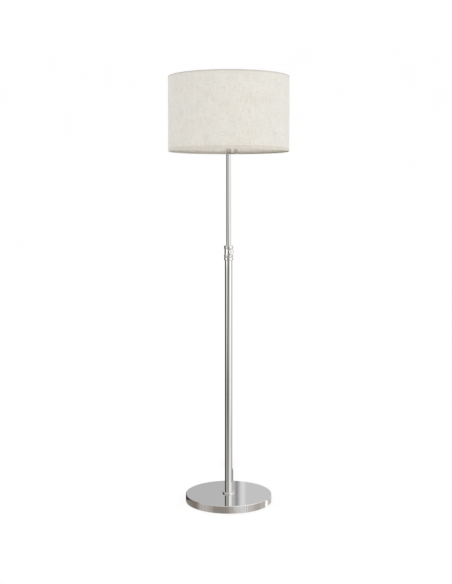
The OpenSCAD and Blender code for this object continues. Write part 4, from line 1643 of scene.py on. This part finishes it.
@dataclass
class TelescopicPole:
    """The two tubes, the clamp collar between them with its thumb knob, and the nylon bushes
    that the upper tube slides in."""

    lower_r: float = 12.5
    lower_bore: float = 11.3
    lower_z: tuple[float, float] = (25.0, 822.0)
    upper_r: float = 8.0
    upper_bore: float = 7.0
    upper_z: tuple[float, float] = (600.0, 1200.0)
    collar_z: float = 804.0
    bead_r: float = 15.0
    bead_edge: float = 2.4
    barrel_r: float = 13.8
    beads: tuple = (11.5, 8.5, 18.0, 12.0)
    knob_turn: float = 22.0
    knob_r: float = 11.0
    knob_out: float = 17.5
    knob_t: float = 7.5
    barrel_bore: float = 11.05
    shaft_bore: float = 3.25
    bore_steps: int = 6
    slide_down: float = 280.0
    slack_turns: float = 6.0
    slack_wind: float = 6.5
    slack_r: float = 1.95

    def build(self, look: Finishes) -> None:
        """Makes the tubes, the collar, the knob and the inner lead's slack, and dresses the bushes,
        rings and fittings.

        Args:
            look: The finishes.
        """
        for name, node, r, bore, z, body in (
            ("pole_lower_tube", "lower_tube", self.lower_r, self.lower_bore, self.lower_z, "root"),
            (
                "pole_upper_tube", "upper_tube", self.upper_r, self.upper_bore, self.upper_z,
                "upper_pole",
            ),
        ):  # fmt: skip
            self._tube(name, r, bore, z, body, node, look)
        self._collar(look)
        self._knob(look)
        for name in ("guide_bush", "glide_bush", "tube_end_plug", "screw_tip"):
            dress_node(name, look.nylon)
        for name in ("stop_ring", "tube_top_insert", "top_nipple"):
            dress_node(name, look.zinc)
        self._slack(look)
        dress_node("pole_lead", look.lead)

    def _slack(self, look: Finishes) -> None:
        """Makes the slack of the inner lead, a loose helix in the lower tube that closes up as
        the upper tube comes down: x = wind cos(a), y = wind sin(a), z = low + t (high - low)
        with a = 2 pi turns t, where wind rises and falls along an S curve near the ends.

        Args:
            look: The finishes.
        """
        low, high = (corner[2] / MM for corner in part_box("slack_lead"))
        t = np.linspace(0, 1, 217)
        rise = np.clip(np.minimum(t, 1 - t) / 0.12, 0, 1)
        wind = self.slack_wind * rise**2 * (3 - 2 * rise)
        angle = 2 * math.pi * self.slack_turns * t
        path = np.stack(
            [wind * np.cos(angle), wind * np.sin(angle), low + t * (high - low)], axis=1
        )
        lead = make_piece(
            "slack_lead_wind", swept(path, self.slack_r, (1, 0, 0), 14), [look.lead], "glide",
            ["slack_lead"]
        )
        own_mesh(lead)

    @staticmethod
    def _tube(
        name: str, r: float, bore: float, z: tuple[float, float], body: str, node: str,
        look: Finishes
    ) -> None:
        """Makes one tube: its wall's section turned round the axis, with broken edges.

        Args:
            name: The piece's name.
            r: Outer radius.
            bore: Inner radius.
            z: Heights of its ends.
            body: The CAD body that it moves with.
            node: The CAD node that it stands for.
            look: The finishes.
        """
        section = rounded(
            [(r, z[0], 0.3), (r, z[1], 0.3), (bore, z[1], 0.2), (bore, z[0], 0.2)], True, 4
        )
        tube = turned(held(section, True), True)
        make_piece(name, tube, [look.tube], body, [node])

    def _bead(self, low: float, high: float, start: float = -90, end: float = 90) -> Array:
        """The outside of a bead: an arc at each edge, with a straight between them.

        Args:
            low: Height of its lower end.
            high: Height of its upper end.
            start: Where the lower arc starts, in degrees.
            end: Where the upper arc ends.

        Returns:
            The outline's points.
        """
        r, edge = self.bead_r - self.bead_edge, self.bead_edge
        return np.concatenate(
            [arc((r, low + edge), edge, start, 0), arc((r, high - edge), edge, 0, end)]
        )

    def _collar(self, look: Finishes) -> None:
        """Makes the clamp collar: two beads, a straight barrel and a top bead.

        Args:
            look: The finishes.
        """
        z0, (one, two, barrel, top) = self.collar_z, self.beads
        z1, z2, z3, z4 = np.cumsum([z0 + one, two, barrel, top])
        # The barrel meets the rounded beads where their arcs reach its radius
        meet = math.degrees(
            math.acos((self.barrel_r - self.bead_r + self.bead_edge) / self.bead_edge)
        )
        lift = self.bead_edge * (1 - math.sin(math.radians(meet)))
        # Close rows on both sides of the wall where the screw's bore goes through
        rows = (z2 + z3) / 2 + self.shaft_bore / self.bore_steps * np.arange(-14, 15)
        barrel_rows = np.stack([np.full(len(rows), self.barrel_r), rows], axis=1)
        bore_rows = np.stack([np.full(len(rows), self.barrel_bore), rows[::-1]], axis=1)
        outside = np.concatenate(
            [
                self._bead(z0, z1)[1:],
                [[self.bead_r - self.bead_edge - 0.02, z1]],
                self._bead(z1, z2, end=meet)[1:],
                [[self.barrel_r, z2 - lift + 0.1]],
                barrel_rows,
                [[self.barrel_r, z3 + lift - 0.1]],
                self._bead(z3, z4, start=-meet),
            ]
        )
        inside = np.concatenate(
            [
                [[8.6, z4], [8.3, z4 - 0.3], [8.3, z4 - 6], [self.barrel_bore, z4 - 6]],
                bore_rows,
                [[self.barrel_bore, z0 + 20], [12.55, z0 + 20], [12.55, z0]],
            ]
        )
        outline = held(np.concatenate([outside, inside]), True, 0.12)
        collar = self._bored(outline, (z2 + z3) / 2).placed(about_z(self.knob_turn - 90))
        make_piece(
            "clamp_collar_shell", collar.outwards(), [look.turned], "root",
            ["clamp_collar"]
        )

    def _bored(self, outline: Array, z: float) -> Surface:
        """Turns the collar's outline with the screw's bore through its wall, towards +X.

        The bore is bore_steps rows and columns across its radius. A point that lies n radii from
        its middle, by the larger of row and column, goes to a circle of n radii, wholly for n
        up to 1 and not at all from n = 2.
        The faces inside n = 1 are left out, and a band of quads joins the two rims.

        Args:
            outline: The collar's closed section.
            z: Height of the bore's axis.

        Returns:
            The closed surface.
        """
        surface = turned(outline, True)
        points = surface.points.reshape(len(outline), ROUND, 3)
        column = (np.arange(ROUND) + ROUND // 2) % ROUND - ROUND // 2
        rims, drop = [], np.zeros(len(surface.faces), bool)
        steps = self.bore_steps
        for radius, sign in ((self.barrel_r, 1), (self.barrel_bore, -1)):
            middle = int(np.argmin(np.hypot(outline[:, 0] - radius, outline[:, 1] - z)))
            row = np.arange(len(outline)) - middle
            near = np.abs(row) <= 2 * steps
            u, v = np.meshgrid(column / steps, sign * row[near] / steps)
            n = np.maximum(np.abs(u), np.abs(v))
            share = np.clip(2 - n, 0, 1)
            share = (share**2 * (3 - 2 * share))[..., None]
            flat = np.maximum(np.hypot(u, v), 1e-9)[..., None]
            ring = self.shaft_bore * n[..., None] * np.stack([u, v], axis=2) / flat
            here = np.stack([points[near][..., 1], points[near][..., 2] - z], axis=2)
            moved = share * ring + (1 - share) * here
            ahead = np.sqrt(np.maximum(radius**2 - moved[..., 0] ** 2, 0))
            shifted = np.stack([ahead, moved[..., 0], moved[..., 1] + z], axis=2)
            points[near] = np.where(n[..., None] < 2, shifted, points[near])
            side = np.arange(-steps, steps)
            edge = np.full(2 * steps, steps)
            drop[((middle + side)[:, None] * ROUND + side % ROUND).ravel()] = True
            round_u = np.concatenate([side, edge, -side, -edge])
            round_v = np.concatenate([-edge, side, edge, -side])
            rims.append((middle + sign * round_v) * ROUND + round_u % ROUND)
        outer, inner = rims
        bore = np.stack([outer, np.roll(outer, -1), np.roll(inner, -1), inner], axis=1)
        order = bore if surface.faces[0, 0] < surface.faces[0, 1] else bore[:, ::-1]
        faces = np.concatenate([surface.faces[~drop], order])
        return Surface(points.reshape(-1, 3), faces)

    def _knob(self, look: Finishes) -> None:
        """Makes the thumb knob: a tapered disc with a dished face and a low button in it.

        Args:
            look: The finishes.
        """
        out, t, r = self.knob_out, self.knob_t, self.knob_r
        dish = out + t - 0.9
        shaft = rounded(
            [
                (0, 10.6, 0), (3, 10.6, 0.3), (3, 15, 0.2), (4.5, 15, 0.4), (4.5, out, 0.3),
                (r, out, 0.9), (r, out + 1.6, 0.7), (r - 2.1, out + t, 0.6), (r - 3, out + t, 0.15),
                (r - 3.2, dish, 0.3), (4.2, dish, 0.3), (3.6, dish + 1.5, 0.6),
                (0, dish + 1.52, 0),
            ],
            False,
            7,
        )  # fmt: skip
        outline = held(shaft, False, 0.1)
        a = math.radians(self.knob_turn)
        to = np.array([math.sin(a), -math.cos(a), 0.0])
        side = np.array([math.cos(a), math.sin(a), 0.0])
        matrix = np.stack([side, np.cross(to, side), to], axis=1)
        z = self.collar_z + self.beads[0] + self.beads[1] + self.beads[2] / 2
        knob = turned(outline, False, 96).placed(matrix, (0, 0, z))
        make_piece(
            "thumb_knob_shell", knob, [look.turned], "thumb_knob", ["thumb_knob"]
        )


# ---- Lamp holder ----


@dataclass
class LampHolder:
    """The pull-chain lamp holder on top of the pole: check ring, cap, beaded shell, rolled
    brass thread, and the switch's chain with its end piece."""

    cap_z: float = 1204.0
    shell_z: float = 1222.0
    shell_top: float = 1262.0
    radius: float = 17.5
    wall: float = 0.7
    lamp_r: float = 13.3
    lamp_z: float = 1238.0
    foot_h: float = 6.0
    thread_h: float = 21.2
    thread_pitch: float = 3.63
    chain_x: float = 24.0
    guide_z: tuple[float, float] = (1218.0, 1237.0)
    chain_z: tuple[float, float] = (1180.5, 1235.0)
    bead_r: float = 1.5
    pendant_r: float = 6.0
    pendant_len: float = 24.0

    def build(self, look: Finishes) -> None:
        """Makes the visible metal of the holder and dresses its inside.

        Args:
            look: The finishes.
        """
        top = self.cap_z - 4
        ring = rounded(
            [(8.05, top - 6, 0.2), (11, top - 6, 2), (11, top + 2, 2), (5.05, top + 2, 0.1),
             (5.05, top, 0.05), (8.05, top, 0.05)],
            True,
        )  # fmt: skip
        self._part("check_ring_shell", ring, look.turned, "check_ring")
        r, w, z = self.radius, self.wall, self.cap_z
        cap = rounded(
            [
                (5.05, z, 0.1), (10, z, 0.6), (r - 3, z + 8.1, 5), (r - 0.6, z + 13, 4),
                (r, z + 18, 0.2),
                (r - w, z + 18, 0.1), (r - 0.6 - w, z + 13.2, 3), (r - 3.6 - w, z + 8.9, 4),
                (9.4, z + 1.2, 0.3),
                (5.05, z + 1.2, 0.1),
            ],
            True,
        )  # fmt: skip
        self._part("holder_cap_shell", cap, look.turned, "holder_cap")
        self._part("holder_shell_skin", self._shell_section(), look.turned, "holder_shell")
        self._thread(look)
        self._guide(look)
        self._chain(look)
        for name, finish in (
            ("holder_liner", look.fibre), ("holder_body", look.bakelite),
            ("centre_contact", look.brass), ("terminal_screws", look.brass),
        ):  # fmt: skip
            dress_node(name, finish)

    def _part(self, name: str, section: Array, finish: bpy.types.Material, node: str) -> None:
        """Makes one turned piece that rides on the upper tube."""
        make_piece(
            name,
            turned(held(section, True, 0.08), True, 128),
            [finish],
            "upper_pole",
            [node],
        )

    def _shell_section(self) -> Array:
        """The shell's section: a straight wall with a rolled bead near each end.

        Returns:
            The closed section.
        """
        r, z0, z1 = self.radius, self.shell_z, self.shell_top
        low, high = (arc((r - 0.3, z), 1.1, -70, 70, 10) for z in (z0 + 3, z1 - 3))
        rim = arc((r - self.wall / 2, z1 - 0.35), self.wall / 2, 0, 180, 8)
        foot = np.array([[r - self.wall, z0 + 0.02], [r, z0 + 0.02]])
        return np.concatenate([low, high, rim, foot])

    def _thread(self, look: Finishes) -> None:
        """Makes the rolled brass screw shell. Its foot is wider by an S curve over 1.2 mm, and
        above that its radius waves by 0.4 mm with one turn a pitch:
        r = mean + 0.4 sin(2 pi z / pitch - angle).

        Args:
            look: The finishes.
        """
        segments = 96
        angle = np.linspace(0, 2 * math.pi, segments, endpoint=False)
        z = np.linspace(self.lamp_z, self.lamp_z + self.thread_h, 110)[:, None]
        above = np.clip((z - self.lamp_z - self.foot_h + 0.2) / 1.2, 0, 1)
        mean = self.lamp_r + 0.9 - 0.55 * above**2 * (3 - 2 * above)
        inside = np.minimum(z - self.lamp_z - self.foot_h - 1, self.lamp_z + self.thread_h - z)
        fade = np.clip(inside / 1.5, 0, 1)
        wave = 0.4 * fade * np.sin(2 * math.pi * z / self.thread_pitch - angle[None])
        layers = []
        for offset, order in ((0.4, 1), (0.0, -1)):
            radius = mean + offset + wave
            sheet = np.stack(
                [radius * np.cos(angle), radius * np.sin(angle), np.broadcast_to(z, radius.shape)],
                axis=2
            )
            layers.append(sheet[::order])
        lip_r = self.lamp_r + np.array([1.4, 1.45, 1.3, 0.4])[:, None]
        lip_z = self.lamp_z + np.array([21.3, 21.7, 22.0, 21.9])[:, None]
        lip = np.stack(
            [lip_r * np.cos(angle), lip_r * np.sin(angle), np.broadcast_to(lip_z, (4, segments))],
            axis=2
        )
        grid = np.concatenate([layers[0], lip, layers[1]])
        shell = grid_surface(grid, (True, True)).outwards()
        make_piece(
            "screw_shell_thread", shell, [look.brass], "upper_pole", ["screw_shell"]
        )

    def _guide(self, look: Finishes) -> None:
        """Makes the chain's guide: a bell-mouthed tube on a short arm out of the shell.

        Args:
            look: The finishes.
        """
        low, high = self.guide_z
        bell = rounded(
            [(2.0, low, 0.2), (5.0, low, 0.6), (5.0, low + 1.5, 0.5), (4.2, low + 1.9, 0.3),
             (4.2, high, 2.0), (0.9, high, 0.1), (0.9, high - 1.2, 0.1), (2.0, high - 1.6, 0.2)],
            True,
        )  # fmt: skip
        tube = turned(held(bell, True, 0.08), True, 64).placed(np.eye(3), (self.chain_x, 0, 0))
        arm = rounded(
            [(0, 16.0, 0), (3, 16.0, 0.3), (3, self.chain_x - 3, 0.1), (0, self.chain_x - 3, 0)],
            False,
        )
        matrix = np.array([[0, 0, 1], [0, 1, 0], [-1, 0, 0]], float)
        place = (0, 0, self.shell_z + 8)
        stub = turned(held(arm, False, 0.08), False, 48).placed(matrix, place)
        make_piece(
            "pull_chain_guide", tube.joined(stub), [look.turned], "upper_pole",
            ["chain_guide"]
        )

    def _chain(self, look: Finishes) -> None:
        """Makes the ball chain and its end piece. A ball is an arc turned round the chain, and
        one outline runs over all of them and over the short wires between them.

        Args:
            look: The finishes.
        """
        low, high = self.chain_z
        step = 2.5 * self.bead_r
        count = int((high - low - 2 * self.bead_r) // step) + 1
        middles = low + self.bead_r + 0.2 + step * np.arange(count)
        ball = arc((0, 0), self.bead_r, -72, 72, 8)
        balls = (ball[None] + np.stack([np.zeros(count), middles], axis=1)[:, None]).reshape(-1, 2)
        outline = np.concatenate(
            [[[0, low - 1.0], [0.5, low - 1.0]], balls, [[0.5, high], [0, high]]]
        )
        chain = turned(outline, False, 20).placed(np.eye(3), (self.chain_x, 0, 0))
        make_piece(
            "ball_chain", chain, [look.turned], "pull_switch", ["pull_chain"]
        )
        r, top = self.pendant_r, low
        bottom = top - self.pendant_len
        body = rounded(
            [
                (0, bottom, 0), (r - 1.2, bottom, 0.8), (r, bottom + 2.2, 1.5),
                (r, bottom + 13.2, 1.2), (r - 0.8, bottom + 14.8, 0.6), (0.45 * r, top - 0.6, 1.2),
                (0, top, 0),
            ],
            False,
            6,
        )  # fmt: skip
        pendant = turned(held(body, False, 0.1), False, 96).placed(np.eye(3), (self.chain_x, 0, 0))
        make_piece(
            "pull_end", pendant, [look.turned], "pull_switch", ["pull_pendant"]
        )


# ---- Harp and shade ----


@dataclass
class HarpAndRings:
    """The wire harp with its two sleeves, and the wire rings and arms inside the shade."""

    foot_y: float = 24.0
    half_width: float = 55.0
    cap_z: float = 1204.0
    height: float = 184.0
    wire: float = 1.8
    ring_r: float = 196.6
    ring_wire: float = 1.5
    ring_z: tuple[float, float] = (1167.0, 1407.0)

    def build(self, look: Finishes) -> None:
        """Makes the harp, its sleeves, the spider, the lower ring and the finial.

        Args:
            look: The finishes.
        """
        self._harp(look)
        for side, name in ((-1, "harp_sleeve_front"), (1, "harp_sleeve_back")):
            section = rounded(
                [(2.2, self.cap_z + 0.2, 0.1), (3.4, self.cap_z + 0.2, 0.5), (
                    3.4, self.cap_z + 22.2, 0.9
                ),
                 (2.2, self.cap_z + 22.2, 0.1)],
                True,
            )  # fmt: skip
            sleeve = turned(held(section, True, 0.1), True, 64).placed(
                np.eye(3), (0, side * self.foot_y, 0)
            )
            make_piece(f"{name}_skin", sleeve, [look.brass], name, [name])
        dress_node("harp_saddle", look.nickel)
        self._rings(look)
        self._finial(look)

    def _harp(self, look: Finishes) -> None:
        """Makes the harp: a wire along a smooth curve from foot to foot, with the turned hub
        and its stud on top.

        Args:
            look: The finishes.
        """
        w, h, f = self.half_width, self.height, self.foot_y
        foot = 10.2
        half = [
            (f, foot), (f, foot + 9), (f, foot + 18), (f, foot + 27),
            (f + 0.12 * (w - f), foot + 34),
            (w * 0.8, h * 0.32), (w * 0.96, h * 0.42), (w, h * 0.53), (w * 0.95, h * 0.67),
            (w * 0.78, h * 0.81), (w * 0.5, h * 0.915), (w * 0.22, h - 4.2), (0, h - 3),
        ]  # fmt: skip
        side = smooth_curve([(0, y, self.cap_z + z) for y, z in half], 8)
        other = side[-2::-1] * [1, -1, 1]
        wire = swept(np.concatenate([side, other]), self.wire, (1, 0, 0), 16)
        top = self.cap_z + h
        hub = rounded(
            [(0, top - 6, 0), (6, top - 6, 0.6), (6, top, 0.4), (3.1, top, 0.2), (
                3.1, top + 12.2, 0.4
            ),
             (0, top + 12.2, 0)],
            False,
        )  # fmt: skip
        piece = wire.joined(turned(held(hub, False, 0.1), False, 64))
        make_piece("harp_wire", piece, [look.nickel], "upper_pole", ["harp"])

    def _ring(self, z: float) -> Surface:
        """A ring of wire: a small circle turned round the axis."""
        section = arc((self.ring_r, z), self.ring_wire, 0, 360, 14)[:-1]
        return turned(section, True, 240)

    def _rings(self, look: Finishes) -> None:
        """Makes the spider, three arms from its washer to the upper ring, and the lower ring.

        Args:
            look: The finishes.
        """
        low, high = self.ring_z
        seat = self.cap_z + self.height
        washer = turned(
            held(
                rounded(
                    [(3.3, seat, 0.2), (12, seat, 0.5), (12, seat + 2, 0.5), (3.3, seat + 2, 0.2)],
                    True,
                ),
                True,
                0.1,
            ),
            True,
            96,
        )
        rise = high - seat - 1
        line = smooth_curve(
            [(9, 0, seat + 1), (self.ring_r * 0.45, 0, seat + 1), (self.ring_r * 0.82, 0, seat + 2),
             (self.ring_r * 0.94, 0, seat + 1 + 0.5 * rise), (self.ring_r, 0, seat + 1 + rise)],
            10,
        )  # fmt: skip
        arm = swept(line, self.ring_wire, (0, 1, 0), 12)
        arms = [arm.placed(about_z(turn)) for turn in (30, 150, 270)]
        spider = self._ring(high).joined(washer, *arms)
        make_piece(
            "shade_carrier", spider, [look.nickel], "upper_pole", ["shade_spider"]
        )
        make_piece(
            "shade_lower_ring",
            self._ring(low),
            [look.nickel],
            "upper_pole",
            ["shade_bottom_ring"],
        )

    def _finial(self, look: Finishes) -> None:
        """Makes the finial: a collar, a neck and a ball.

        Args:
            look: The finishes.
        """
        seat = self.cap_z + self.height + 2
        foot = rounded(
            [
                (3.15, seat, 0.1),
                (7, seat, 1),
                (7, seat + 3.5, 1),
                (3.9, seat + 3.5, 0.4),
                (3.9, seat + 7.6, 0.3),
            ],
            False,
        )  # fmt: skip
        foot[0] = (3.15, seat)
        ball = arc((0, seat + 11.5), 5.5, -43, 90, 12)
        inside = np.array([[0.0, seat + 10.7], [3.15, seat + 10.7]])
        outline = np.concatenate([inside, foot, ball])
        finial = turned(held(outline, False, 0.1), False, 72)
        make_piece("finial_shell", finial, [look.turned], "upper_pole", ["finial"])


@dataclass
class LinenShade:
    """The drum shade: one sheet of laminated linen round the rings, lapped at the back, and
    its turned hems inside both rims."""

    radius: float = 200.0
    height: float = 246.0
    low: float = 1164.0
    wall: float = 1.0
    hem_height: float = 10.0
    hem_wall: float = 0.8
    lap: float = 12.0
    columns: int = 720

    def _angles(self) -> Array:
        """Directions round the drum, starting behind the lamp where the lap is."""
        return math.pi / 2 + np.linspace(0, 2 * math.pi, self.columns, endpoint=False)

    def _swell(self, z: Array, angle: Array) -> Array:
        """How far the cloth stands off the true drum: the lap's second layer, which is a smooth
        step over its width, and a slight unevenness that dies out at the rings.

        Args:
            z: Heights.
            angle: Directions, in radians.

        Returns:
            The distance at each.
        """
        around = (angle - math.pi / 2) * self.radius
        lap = 0.45 * np.clip(around / 1.5, 0, 1) * np.clip((self.lap - around) / 1.5, 0, 1)
        height = np.clip((z - self.low) / self.height, 0, 1)
        free = np.sin(math.pi * height)
        uneven = 0.22 * free * (
            np.sin(5 * angle + 0.6) + 0.6 * np.sin(11 * angle + 2.1 + 1.5 * height)
        )
        return lap + uneven

    def _band(self, section: Array, finishes: Array, swell: bool) -> Surface:
        """Carries a section round the drum: r = section's radius plus the swell there.

        Args:
            section: Radius and height of the section's points, a closed outline.
            finishes: The material's number of each side of the section.
            swell: Whether the cloth's unevenness is added.

        Returns:
            The closed surface, with its cloth map in metres.
        """
        angle = self._angles()[None]
        z = section[:, 1:]
        radius = section[:, :1] + (self._swell(z, angle) if swell else 0 * angle)
        grid = np.stack(
            [radius * np.cos(angle), radius * np.sin(angle), np.broadcast_to(z, radius.shape)],
            axis=2
        )
        around = np.linspace(0, 2 * math.pi * self.radius * MM, self.columns + 1)
        up = (np.append(section[:, 1], section[0, 1]) - self.low) * MM
        return grid_surface(grid, (True, True), (around, up), finishes).outwards()

    def build(self, look: Finishes) -> None:
        """Args:
            look: The finishes.
        """
        r, z0, z1 = self.radius, self.low, self.low + self.height
        inner = r - self.wall
        rise = np.linspace(z0 + 1.2, z1 - 1.2, 33)[:, None]
        outside = np.concatenate([np.full_like(rise, r), rise], axis=1)
        inside = np.concatenate([np.full_like(rise, inner), rise[::-1]], axis=1)
        rim = self.wall / 2
        top = arc((r - rim, z1 - rim), rim, 0, 180, 6)
        bottom = arc((r - rim, z0 + rim), rim, 180, 360, 6)
        section = np.concatenate([outside, top, inside, bottom])
        middle = (section[:, 0] + np.roll(section[:, 0], -1)) / 2
        finishes = np.where(middle < r - 0.7 * self.wall, 1, 0)
        drum = make_piece(
            "linen_drum",
            self._band(section, finishes, True),
            [look.linen[ClothSide.OUTSIDE], look.linen[ClothSide.INSIDE]],
            "upper_pole",
            ["shade_drum"],
        )
        hems = [
            self._hem("upper_hem", z1 - self.hem_height - 0.2, z1 - 0.2, "shade_top_hem", look),
            self._hem("lower_hem", z0 + 0.2, z0 + self.hem_height + 0.2, "shade_bottom_hem", look),
        ]

    def _hem(
        self, name: str, low: float, high: float, node: str, look: Finishes
    ) -> bpy.types.Object:
        """Makes a hem: the cloth's turned edge, glued flat inside the rim.

        Args:
            name: The piece's name.
            low: Height of its lower edge.
            high: Height of its upper edge.
            node: The CAD node that it stands for.
            look: The finishes.

        Returns:
            The piece.
        """
        outer = self.radius - self.wall - 0.02
        inner = outer - self.hem_wall
        corners = [(outer, low, 0.3), (outer, high, 0.3), (inner, high, 0.35), (inner, low, 0.35)]
        section = held(rounded(corners, True, 4), True, 0.1)
        band = self._band(section, np.zeros(len(section), int), False)
        return make_piece(name, band, [look.linen[ClothSide.HEM]], "upper_pole", [node])


def main() -> None:
    """Builds the studio and the lamp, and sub-assembly by sub-assembly."""
    logging.basicConfig(level=logging.INFO, format="%(name)s: %(message)s")
    scene = bpy.context.scene
    scene.view_settings.view_transform = "Standard"
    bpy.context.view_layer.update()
    Studio().build()
    look = Finishes()
    for part in (
        MainsLead(), WeightedBase(), TelescopicPole(), LampHolder(), HarpAndRings(), LinenShade()
    ):
        LOG.info("building %s", type(part).__name__)
        part.build(look)


if __name__ == "__main__":
    main()
